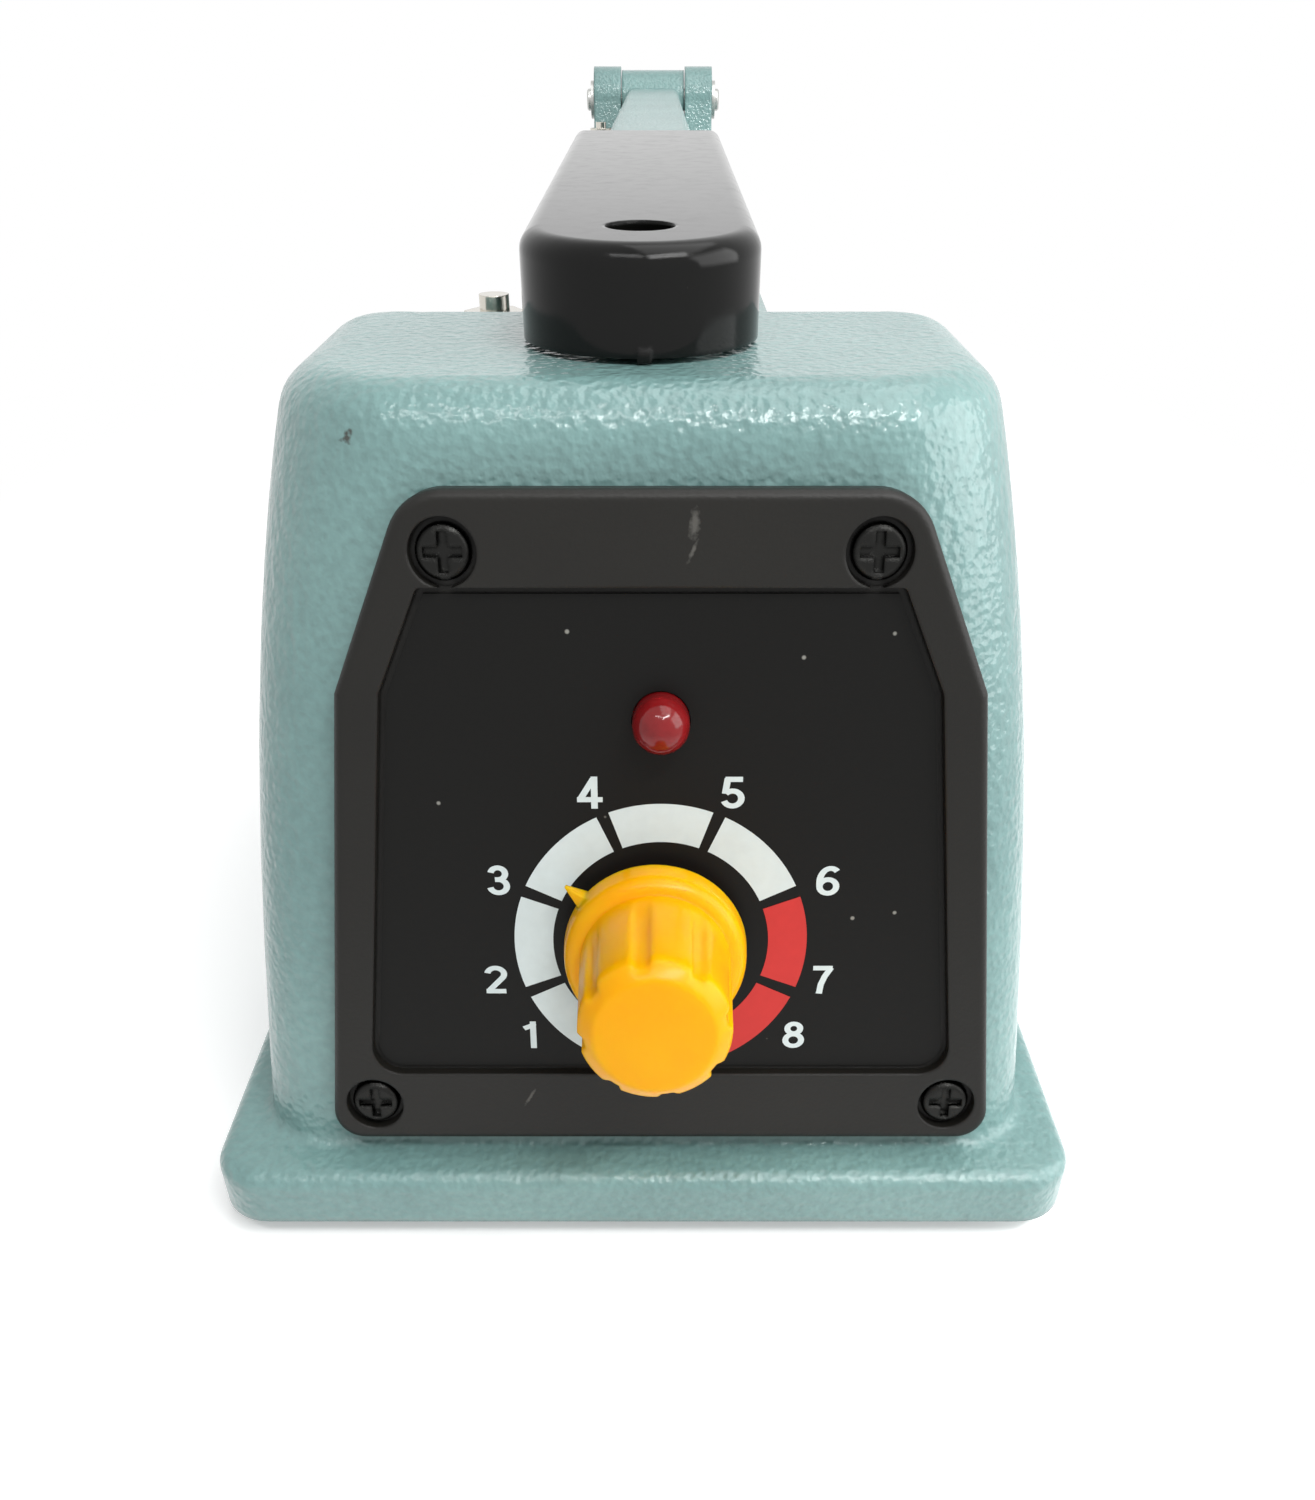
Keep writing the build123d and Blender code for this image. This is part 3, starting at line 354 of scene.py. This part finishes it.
# Each middle line becomes a strip that turns with the mean direction at every point.
numbers = bmesh.new()
for figure, (distance, angle) in figure_places.items():
    xs = [x for line in figure_strokes[figure] for x, y in line]
    middle = Vector(((min(xs) + max(xs)) / 2, 0.5, 0))
    spot = Vector((distance * cos(radians(angle)), distance * sin(radians(angle)), 0)) / 1000
    for layer, line in enumerate(figure_strokes[figure]):
        points = [Vector((x, y, layer * stroke_lift)) for x, y in line]
        closed = (points[0] - points[-1]).length < 0.001
        sides = []
        for k, point in enumerate(points):
            before = points[k - 1] if k else points[-2] if closed else point
            after = points[k + 1] if k + 1 < len(points) else points[1] if closed else point
            along = (after - before).normalized() * half_stroke
            for turned in (Vector((along.y, -along.x, 0)), Vector((-along.y, along.x, 0))):
                local = (point + turned - middle) * Vector((figure_width, figure_height, 1)) + spot
                sides.append(numbers.verts.new(print_place @ local))
        for k in range(0, len(sides) - 2, 2):
            numbers.faces.new((sides[k], sides[k + 2], sides[k + 3], sides[k + 1]))
numbers_mesh = bpy.data.meshes.new("dial_numbers")
numbers.to_mesh(numbers_mesh)
numbers.free()
place_piece("dial_numbers", numbers_mesh, "base", white_ink)

# Indicator lamp: a red clear epoxy moulding with a domed nose. It is unlit, so it shows deep
# red, and its polished nose mirrors the lights and the knob below it.
epoxy, epoxy_shader = new_finish("red clear epoxy", 0.13, ior=1.54)
epoxy_shader.inputs["Transmission Weight"].default_value = 0.4
epoxy_shader.inputs["Specular IOR Level"].default_value = 0.25
place = add_node(epoxy, "ShaderNodeTexCoord")
haze = add_node(epoxy, "ShaderNodeTexNoise", None, {"Scale": cells(1.43), "Detail": 2},
                {"Vector": place.outputs["Object"]})
depth = add_node(epoxy, "ShaderNodeValToRGB", None, None, {"Fac": haze.outputs["Fac"]})
depth.color_ramp.elements[0].color = linear("841216")
depth.color_ramp.elements[1].color = linear("B62226")
epoxy.node_tree.links.new(depth.outputs["Color"], epoxy_shader.inputs["Base Color"])
give("indicator_lamp", epoxy)

# Timer knob: yellow moulded plastic with a slightly waxy depth. A rounded skirt carries the
# pointer nib, and the tapered grip has eight shallow finger grooves that run out at the tip.
# The mesh is the knob's profile carried round its axis, in place of the plainer CAD solid.
yellow, yellow_shader = new_finish("yellow moulded plastic", 0.27, ior=1.49)
yellow_shader.inputs["Subsurface Weight"].default_value = 0.6
yellow_shader.inputs["Subsurface Radius"].default_value = (1.0, 0.5, 0.1)
yellow_shader.inputs["Subsurface Scale"].default_value = 0.0025
yellow_shader.inputs["Specular IOR Level"].default_value = 0.2
place = add_node(yellow, "ShaderNodeTexCoord")
swirl = add_node(yellow, "ShaderNodeTexNoise", None, {"Scale": cells(6.25), "Detail": 3},
                 {"Vector": place.outputs["Object"]})
hue = add_node(yellow, "ShaderNodeValToRGB", None, None, {"Fac": swirl.outputs["Fac"]})
hue.color_ramp.elements[0].color = linear("F5A400")
hue.color_ramp.elements[1].color = linear("FAB900")
yellow.node_tree.links.new(hue.outputs["Color"], yellow_shader.inputs["Base Color"])
soft_edge = add_node(yellow, "ShaderNodeBevel", {"samples": 6}, {"Radius": 0.0004})
ripple = add_node(yellow, "ShaderNodeBump", None, {"Strength": 0.08, "Distance": 0.0003},
                  {"Height": swirl.outputs["Fac"], "Normal": soft_edge.outputs["Normal"]})
yellow.node_tree.links.new(ripple.outputs["Normal"], yellow_shader.inputs["Normal"])

# The knob's axis lies half a millimetre left of the dial's centre. Its sizes are in millimetres
# from the panel and from the axis, and each point of its profile is a height, a radius and how
# deep a groove is cut there.
knob_offset = -0.0005
knob_place = panel_place @ Matrix.Translation((knob_offset, 0, 0)) @ Matrix.Scale(0.001, 4)
knob_back, knob_front = 1.8, 18.4
bore_radius, bore_end = 3.0, 14.2
skirt_radius, skirt_chamfer, skirt_flare = 8.38, 0.15, 0.12
round_start, round_radius, round_steps = 3.7, 1.5, 8
grip_radius, grip_start, grip_front, grip_taper, grip_steps = 6.88, 5.9, 17.2, 0.46, 8
groove_depth, groove_fade_steps = 0.42, 2
tip_round = [(17.45, 6.24, 0.28), (17.7, 5.98, 0.13), (18.0, 5.62, 0.04), (18.25, 5.3, 0.0),
             (knob_front - 0.03, 5.08, 0.0), (knob_front, 4.85, 0.0)]
knob_profile = [(bore_end, bore_radius, 0.0), (knob_back, bore_radius, 0.0), (knob_back, skirt_radius, 0.0),
                (knob_back + skirt_chamfer, skirt_radius + skirt_flare, 0.0)]
for step in range(round_steps + 1):
    lean = step * pi / 2 / round_steps
    knob_profile.append((round_start + round_radius * sin(lean), grip_radius + round_radius * cos(lean), 0.0))
neck = round_start + round_radius
for step in range(grip_steps + 1):
    height = grip_start + (grip_front - grip_start) * step / grip_steps
    narrowed = grip_radius - grip_taper * (height - neck) / (grip_front - neck)
    knob_profile.append((height, narrowed, min(step / groove_fade_steps, 1) * groove_depth))
knob_profile += tip_round

# Round the axis, each groove has a flat floor and smooth sides between two half angles in
# degrees. The stops lie closest where the sides bend.
pointer_angle, first_groove, groove_count = 142, 3, 8
groove_floor, groove_rim = 3.5, 8.5
groove_stops = (-17, -12, -8.5, -7, -6, -5, -3.5, 0, 3.5, 5, 6, 7, 8.5, 12, 17, 22.5)
round_stops = []
for groove in range(groove_count):
    for stop in groove_stops:
        reach = min(max((groove_rim - abs(stop)) / (groove_rim - groove_floor), 0), 1)
        angle = radians(pointer_angle + first_groove + groove * 360 / groove_count + stop)
        round_stops.append((angle, reach * reach * (3 - 2 * reach)))
knob_form = bmesh.new()
rings = []
for height, radius, depth in knob_profile:
    rings.append([knob_form.verts.new(((radius - depth * groove_part) * cos(angle),
                                       (radius - depth * groove_part) * sin(angle), height))
                  for angle, groove_part in round_stops])
for inner, outer in zip(rings, rings[1:]):
    for k in range(len(inner)):
        knob_form.faces.new((inner[k - 1], inner[k], outer[k], outer[k - 1]))
for ring, height in ((rings[0], bore_end), (rings[-1], knob_front)):
    middle = knob_form.verts.new((0, 0, height))
    for k in range(len(ring)):
        knob_form.faces.new((ring[k - 1], ring[k], middle))

# The pointer nib stands on the skirt's edge: a closed wedge that narrows and falls outwards.
nib_root, nib_height, nib_fall, nib_draft = 7.6, 3.5, 0.45, 0.7
nib_line = [(nib_root, -1.15), (9.4, -0.45), (10.4, -0.1), (10.4, 0.1), (9.4, 0.45), (nib_root, 1.15)]
nib_turn = Matrix.Rotation(radians(pointer_angle), 4, "Z")
nib_low = []
nib_high = []
for x, y in nib_line:
    crest = nib_height - nib_fall * (x - nib_root)
    nib_low.append(knob_form.verts.new(nib_turn @ Vector((x, y, knob_back))))
    nib_high.append(knob_form.verts.new(nib_turn @ Vector((x, nib_draft * y, crest))))
knob_form.faces.new(nib_low)
knob_form.faces.new(nib_high)
for k in range(len(nib_line)):
    knob_form.faces.new((nib_low[k - 1], nib_low[k], nib_high[k], nib_high[k - 1]))
bmesh.ops.recalc_face_normals(knob_form, faces=knob_form.faces)
knob_mesh = bpy.data.meshes.new("grooved_knob")
knob_form.to_mesh(knob_mesh)
knob_form.free()
knob_mesh.transform(knob_place)
knob_mesh.shade_smooth()
knob_mesh.set_sharp_from_angle(angle=radians(42))
grooved_knob = place_piece("grooved_knob", knob_mesh, "knob", yellow)
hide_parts("timer_knob")

# Handle: a glossy black moulded cap. Its polished skin shows faint flow waves, a gloss that
# wanders where it is wiped and a few specks of dust.
gloss, gloss_shader = new_finish("polished black moulded plastic", 0.16, ior=1.5)
gloss_shader.inputs["Specular IOR Level"].default_value = 0.2
place = add_node(gloss, "ShaderNodeTexCoord")
flow = add_node(gloss, "ShaderNodeTexNoise", None, {"Scale": cells(16.7), "Detail": 1},
                {"Vector": place.outputs["Object"]})
wiped = add_node(gloss, "ShaderNodeTexNoise", None, {"Scale": cells(2), "Detail": 4, "Distortion": 0.6},
                 {"Vector": place.outputs["Object"]})
shine = add_node(gloss, "ShaderNodeMapRange", None,
                 {"From Min": 0.35, "From Max": 0.75, "To Min": 0.06, "To Max": 0.16},
                 {"Value": wiped.outputs["Fac"]})
gloss.node_tree.links.new(shine.outputs["Result"], gloss_shader.inputs["Roughness"])
dust = add_node(gloss, "ShaderNodeTexVoronoi", None, {"Scale": cells(4.762)},
                {"Vector": place.outputs["Object"]})
speck = add_node(gloss, "ShaderNodeMapRange", None, {"From Min": 0.05, "From Max": 0.025},
                 {"Value": dust.outputs["Distance"]})
black = add_node(gloss, "ShaderNodeMix", {"data_type": "RGBA"},
                 {6: linear("0F0F0E"), 7: linear("777772")}, {0: speck.outputs["Result"]})
gloss.node_tree.links.new(black.outputs[2], gloss_shader.inputs["Base Color"])
soft_edge = add_node(gloss, "ShaderNodeBevel", {"samples": 4}, {"Radius": 0.0005})
waviness = add_node(gloss, "ShaderNodeBump", None, {"Strength": 0.012, "Distance": 0.0008},
                    {"Height": flow.outputs["Fac"], "Normal": soft_edge.outputs["Normal"]})
gloss.node_tree.links.new(waviness.outputs["Normal"], gloss_shader.inputs["Normal"])
give("handle", gloss)

# Feet, gland and the small black cases inside: moulded rubber and nylon. A dull bloom greys
# their black in soft patches.
rubber, rubber_shader = new_finish("black moulded rubber", 0.7)
place = add_node(rubber, "ShaderNodeTexCoord")
bloom = add_node(rubber, "ShaderNodeTexNoise", None, {"Scale": cells(3.33), "Detail": 4},
                 {"Vector": place.outputs["Object"]})
dull = add_node(rubber, "ShaderNodeValToRGB", None, None, {"Fac": bloom.outputs["Fac"]})
dull.color_ramp.elements[0].color = linear("1B1B1B")
dull.color_ramp.elements[1].color = linear("2E2E2D")
rubber.node_tree.links.new(dull.outputs["Color"], rubber_shader.inputs["Base Color"])
for black_piece in ("rubber_feet", "cord_gland", "gland_nut", "microswitch", "timing_capacitor"):
    give(black_piece, rubber)

# Screws, nuts, clips and sheet brackets: steel, turned or pressed, then zinc plated to a soft
# grey shine. The panel's and handle's screws are blackened and worn round at their edges, and
# the supply studs are bright nickel.


def metal_finish(name, hex_colour, roughness, mark_size, stretch=(1, 1, 1), strength=0.1, edge=0.0002):
    """A metal with faint tool marks a millimetre or two across, or rolling marks drawn out along it."""
    material, shader = new_finish(name, roughness, metallic=1.0)
    shader.inputs["Base Color"].default_value = linear(hex_colour)
    spot = add_node(material, "ShaderNodeTexCoord")
    drawn = add_node(material, "ShaderNodeMapping", None, {"Scale": stretch},
                     {"Vector": spot.outputs["Object"]})
    marks = add_node(material, "ShaderNodeTexNoise", None, {"Scale": cells(mark_size), "Detail": 4},
                     {"Vector": drawn.outputs["Vector"]})
    spread = add_node(material, "ShaderNodeMapRange", None,
                      {"To Min": max(0.05, roughness - 0.12), "To Max": roughness + 0.15},
                      {"Value": marks.outputs["Fac"]})
    material.node_tree.links.new(spread.outputs["Result"], shader.inputs["Roughness"])
    worn_edge = add_node(material, "ShaderNodeBevel", {"samples": 4}, {"Radius": edge})
    grooves = add_node(material, "ShaderNodeBump", None, {"Strength": strength, "Distance": 0.0002},
                       {"Height": marks.outputs["Fac"], "Normal": worn_edge.outputs["Normal"]})
    material.node_tree.links.new(grooves.outputs["Normal"], shader.inputs["Normal"])
    return material


zinc = metal_finish("zinc plated steel", "C4C5C2", 0.32, 1.43)
blackened = metal_finish("blackened steel", "2C2C2B", 0.24, 1.11, edge=0.0006)
nickel = metal_finish("bright nickel plate", "D6D2C8", 0.12, 2, strength=0.03)
for node_name in ("base_screws", "transformer_screws", "transformer_strap", "bar_screws", "clamp_screws",
                  "terminal_screws", "switch_bracket", "timer_control", "timer_nut", "hinge_pin", "pin_clips",
                  "return_spring", "timer_shaft"):
    give(node_name, zinc)
give("panel_screws", blackened)
give("handle_screw", blackened)
give("supply_studs", nickel)

# Sealing bed: extruded aluminium bar with drawing lines along its length, aluminium
# clamp strips, brass straps and a nickel-chromium ribbon browned by heat.
aluminium = metal_finish("drawn aluminium", "C9CBCC", 0.34, 1.11, (1, 0.03, 1), 0.2)
brass = metal_finish("rolled brass", "C9A45A", 0.3, 1.25, (1, 0.1, 1), 0.1)
ribbon = metal_finish("heat browned resistance ribbon", "8A7F74", 0.38, 1.11, (1, 0.05, 1), 0.1)
give("sealing_bar", aluminium)
give("cloth_clamps", aluminium)
give("terminal_straps", brass)
give("heating_element", ribbon)

# Other pieces of the bed, arm, switch and electronics: moulded blocks and cases, silicone,
# nylon, woven strip, lacquered board, varnished iron sheets and painted steel. Each has two
# close tones in patches of a few millimetres, as such parts have.


def plain_finish(name, dark, light, roughness, patch_size, strength=0.15):
    """A non-metal whose colour wanders between two tones, with a fine relief."""
    material, shader = new_finish(name, roughness)
    spot = add_node(material, "ShaderNodeTexCoord")
    patches = add_node(material, "ShaderNodeTexNoise", None, {"Scale": cells(patch_size), "Detail": 4},
                       {"Vector": spot.outputs["Object"]})
    shade = add_node(material, "ShaderNodeValToRGB", None, None, {"Fac": patches.outputs["Fac"]})
    shade.color_ramp.elements[0].position = 0.3
    shade.color_ramp.elements[0].color = linear(dark)
    shade.color_ramp.elements[1].position = 0.7
    shade.color_ramp.elements[1].color = linear(light)
    material.node_tree.links.new(shade.outputs["Color"], shader.inputs["Base Color"])
    relief = add_node(material, "ShaderNodeBump", None, {"Strength": strength, "Distance": 0.0002},
                      {"Height": patches.outputs["Fac"]})
    material.node_tree.links.new(relief.outputs["Normal"], shader.inputs["Normal"])
    return material


give("terminal_blocks", plain_finish("brown phenolic moulding", "3B2216", "55331F", 0.35, 2))
give("pressure_pad", plain_finish("red silicone rubber", "8E3B26", "A64A30", 0.5, 3.85))
give("insulating_strip", plain_finish("woven glass strip", "B9AE93", "D2C8AF", 0.7, 0.667, 0.3))
give("push_rod", plain_finish("white nylon", "D9D8D0", "E6E5DE", 0.4, 2.5))
give("relay", plain_finish("blue moulded case", "1F3F86", "2A4C9A", 0.35, 2.5))
give("circuit_board", plain_finish("green lacquered board", "1E5A2C", "2A6D38", 0.3, 2.86))
give("transformer_core", plain_finish("varnished laminations", "3A3B3E", "55565A", 0.45, 1.11, 0.4))
give("transformer_winding", plain_finish("yellow winding tape", "C79A2E", "DDB347", 0.45, 3.33))
give("base_plate", plain_finish("grey painted steel sheet", "4A4E4F", "5A5F60", 0.45, 2.86))

# Cover cloth: plain woven glass cloth with a brown non-stick coating, stretched over the
# element and down both sides of the bar. The weave shows through the coating as fine ribs. Its
# threads are 1 mm apart here, twice the real spacing, so that they show.
coated, coated_shader = new_finish("coated glass cloth", 0.36)
thread_spacing = 0.001013
thread_scale = pi / 10 / thread_spacing
threads = add_node(coated, "ShaderNodeUVMap", {"uv_map": "cut"})
warp = add_node(coated, "ShaderNodeTexWave", {"bands_direction": "X"},
                {"Scale": thread_scale, "Distortion": 0.2}, {"Vector": threads.outputs["UV"]})
weft = add_node(coated, "ShaderNodeTexWave", {"bands_direction": "Y"},
                {"Scale": thread_scale, "Distortion": 0.2}, {"Vector": threads.outputs["UV"]})
weave = add_node(coated, "ShaderNodeMath", {"operation": "MULTIPLY"}, None,
                 {0: warp.outputs["Fac"], 1: weft.outputs["Fac"]})
browned = add_node(coated, "ShaderNodeTexNoise", None, {"Scale": cells(16.7), "Detail": 4},
                   {"Vector": threads.outputs["UV"]})
shade = add_node(coated, "ShaderNodeValToRGB", None, None, {"Fac": browned.outputs["Fac"]})
shade.color_ramp.elements[0].color = linear("5E4228")
shade.color_ramp.elements[1].color = linear("8A683F")
coated.node_tree.links.new(shade.outputs["Color"], coated_shader.inputs["Base Color"])
ribs = add_node(coated, "ShaderNodeBump", None, {"Strength": 0.4, "Distance": 0.0001},
                {"Height": weave.outputs[0]})
coated.node_tree.links.new(ribs.outputs["Normal"], coated_shader.inputs["Normal"])

# Its section runs up one side of the bar, round an edge, across the top and down again, and
# is carried along the bar in short stretches. The cut map keeps each point's place on the flat.
cloth_start, cloth_end, cloth_stretches = -0.143, 0.161, 76
cloth_half_width, cloth_hem, cloth_thickness = 0.00713, 0.06405, 0.0002
edge_radius, edge_height, edge_steps = 0.0007, 0.06943, 6
cloth_line = [(-cloth_half_width, cloth_hem)]
for step in range(edge_steps + 1):
    turn = pi - step * pi / 2 / edge_steps
    cloth_line.append((edge_radius - cloth_half_width + edge_radius * cos(turn),
                       edge_height + edge_radius * sin(turn)))
cloth_line += [(-x, z) for x, z in reversed(cloth_line)]
run = [0.0]
for (x0, z0), (x1, z1) in zip(cloth_line, cloth_line[1:]):
    run.append(run[-1] + ((x1 - x0) ** 2 + (z1 - z0) ** 2) ** 0.5)
cloth_points = []
cloth_faces = []
for row in range(cloth_stretches + 1):
    y = cloth_start + (cloth_end - cloth_start) * row / cloth_stretches
    cloth_points += [(x, y, z) for x, z in cloth_line]
for row in range(cloth_stretches):
    for column in range(len(cloth_line) - 1):
        near = row * len(cloth_line) + column
        further = near + len(cloth_line)
        cloth_faces.append((near, near + 1, further + 1, further))
cloth_mesh = bpy.data.meshes.new("woven_cover")
cloth_mesh.from_pydata(cloth_points, [], cloth_faces)
cut = cloth_mesh.uv_layers.new(name="cut")
for loop in cloth_mesh.loops:
    row, column = divmod(loop.vertex_index, len(cloth_line))
    cut.data[loop.index].uv = (run[column], (cloth_end - cloth_start) * row / cloth_stretches)
woven_cover = place_piece("woven_cover", cloth_mesh, "base", coated)
wall = woven_cover.modifiers.new("thickness", "SOLIDIFY")
wall.thickness = cloth_thickness
wall.offset = 0
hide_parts("cover_cloth")

# Return spring: hard drawn steel wire wound in an open coil with closed ends. It stands in
# the seat behind the bed and pushes the arm up, so its top rides on the arm.
spring_y, spring_low, spring_high = 0.1755, 0.06275, 0.0801
coil_radius, wire_radius = 0.0038, 0.0007
turns, turn_steps = 7.5, 24
wire = bpy.data.curves.new("spring_wire", "CURVE")
wire.dimensions = "3D"
wire.bevel_depth = wire_radius
wire.bevel_resolution = 3
wire.use_fill_caps = True
coil = wire.splines.new("POLY")
steps = int(turns * turn_steps)
coil.points.add(steps)
for k in range(steps + 1):
    wound = turns * k / steps
    closed_part = min(wound, 1) * wire_radius
    open_part = min(max((wound - 1) / (turns - 2), 0), 1)
    height = spring_low + closed_part + (spring_high - spring_low - 2 * wire_radius) * open_part
    angle = wound * 2 * pi
    coil.points[k].co = (coil_radius * cos(angle), spring_y + coil_radius * sin(angle), height, 1)
winder = bpy.data.objects.new("spring_wire", wire)
bpy.context.collection.objects.link(winder)
spring_mesh = bpy.data.meshes.new_from_object(winder.evaluated_get(bpy.context.evaluated_depsgraph_get()))
bpy.data.objects.remove(winder)
spring_mesh.shade_smooth()
spring_mesh.materials.clear()
spring_mesh.materials.append(zinc)
spring = bpy.data.objects.new("spring_coil", spring_mesh)
bpy.context.collection.objects.link(spring)
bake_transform(spring)
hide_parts("return_spring")

# Floor: a pale seamless sheet under the object. It fades to white away from it, for the camera
# and in mirrors and glass, and keeps the contact shadow.
floor_reach = 4
floor_mesh = bpy.data.meshes.new("floor")
floor_mesh.from_pydata([(-floor_reach, -floor_reach, 0), (floor_reach, -floor_reach, 0),
                        (floor_reach, floor_reach, 0), (-floor_reach, floor_reach, 0)],
                       [], [(0, 1, 2, 3)])
floor = bpy.data.objects.new("floor", floor_mesh)
bpy.context.collection.objects.link(floor)
pale, pale_shader = new_finish("pale floor sheet", 0.9)
pale_shader.inputs["Base Color"].default_value = linear("F2F2F2")
pale_shader.inputs["Specular IOR Level"].default_value = 0.0
pale_shader.inputs["Emission Color"].default_value = (1, 1, 1, 1)
place = add_node(pale, "ShaderNodeTexCoord")
oval = add_node(pale, "ShaderNodeVectorMath", {"operation": "MULTIPLY"}, {1: (6.5, 3.0, 0)},
                {0: place.outputs["Object"]})
from_object = add_node(pale, "ShaderNodeVectorMath", {"operation": "LENGTH"}, None,
                       {0: oval.outputs["Vector"]})
fade = add_node(pale, "ShaderNodeMapRange", {"interpolation_type": "SMOOTHSTEP"},
                {"From Min": 0.75, "From Max": 1.2}, {"Value": from_object.outputs["Value"]})
seen_by = add_node(pale, "ShaderNodeLightPath")
mirrored = add_node(pale, "ShaderNodeMath", {"operation": "MAXIMUM"}, None,
                    {0: seen_by.outputs["Is Glossy Ray"], 1: seen_by.outputs["Is Transmission Ray"]})
in_view = add_node(pale, "ShaderNodeMath", {"operation": "MAXIMUM"}, None,
                   {0: seen_by.outputs["Is Camera Ray"], 1: mirrored.outputs[0]})
lift = add_node(pale, "ShaderNodeMath", {"operation": "MULTIPLY"}, {1: 0.34}, {0: in_view.outputs[0]})
pale.node_tree.links.new(lift.outputs[0], pale_shader.inputs["Emission Strength"])
far = add_node(pale, "ShaderNodeMath", {"operation": "MULTIPLY"}, None,
               {0: fade.outputs["Result"], 1: in_view.outputs[0]})
white = add_node(pale, "ShaderNodeEmission")
blend_out = add_node(pale, "ShaderNodeMixShader", None, None,
                     {0: far.outputs[0], 1: pale_shader.outputs[0], 2: white.outputs[0]})
pale.node_tree.links.new(blend_out.outputs[0], pale.node_tree.nodes["Material Output"].inputs["Surface"])
floor_mesh.materials.append(pale)

# Light: a white surround, full for the camera and in mirrors but dim as a lamp, with broad soft
# panels above and on the right. Two strips in front draw the bright line on the head's edge.
surround_light = 0.26
world = bpy.data.worlds.new("surround")
bpy.context.scene.world = world
world.use_nodes = True
background = world.node_tree.nodes["Background"]
path = add_node(world, "ShaderNodeLightPath")
mirrored = add_node(world, "ShaderNodeMath", {"operation": "MAXIMUM"}, None,
                    {0: path.outputs["Is Glossy Ray"], 1: path.outputs["Is Transmission Ray"]})
seen = add_node(world, "ShaderNodeMath", {"operation": "MAXIMUM"}, None,
                {0: path.outputs["Is Camera Ray"], 1: mirrored.outputs[0]})
level = add_node(world, "ShaderNodeMapRange", None, {"To Min": surround_light, "To Max": 1.0},
                 {"Value": seen.outputs[0]})
world.node_tree.links.new(level.outputs["Result"], background.inputs["Strength"])
background.inputs["Color"].default_value = (1, 1, 1, 1)


def soft_panel(name, power, width, height, place, target):
    """An area lamp of that size in metres, turned to face a point."""
    lamp = bpy.data.lights.new(name, "AREA")
    lamp.shape = "RECTANGLE"
    lamp.size = width
    lamp.size_y = height
    lamp.energy = power
    stand = bpy.data.objects.new(name, lamp)
    bpy.context.collection.objects.link(stand)
    stand.location = place
    stand.rotation_euler = (Vector(target) - Vector(place)).to_track_quat("-Z", "Y").to_euler()


soft_panel("overhead panel", 3.3, 0.9, 0.6, (0.25, -0.1, 0.95), (0, -0.15, 0.05))
soft_panel("right panel", 4.0, 0.7, 0.6, (0.72, -0.3, 0.35), (0, -0.19, 0.05))
soft_panel("front strip", 5.2, 0.55, 0.1, (0.33, -0.65, 0.88), (0, -0.19, 0.07))
soft_panel("left strip", 1.2, 0.4, 0.05, (-0.16, -0.65, 0.88), (0, -0.19, 0.07))
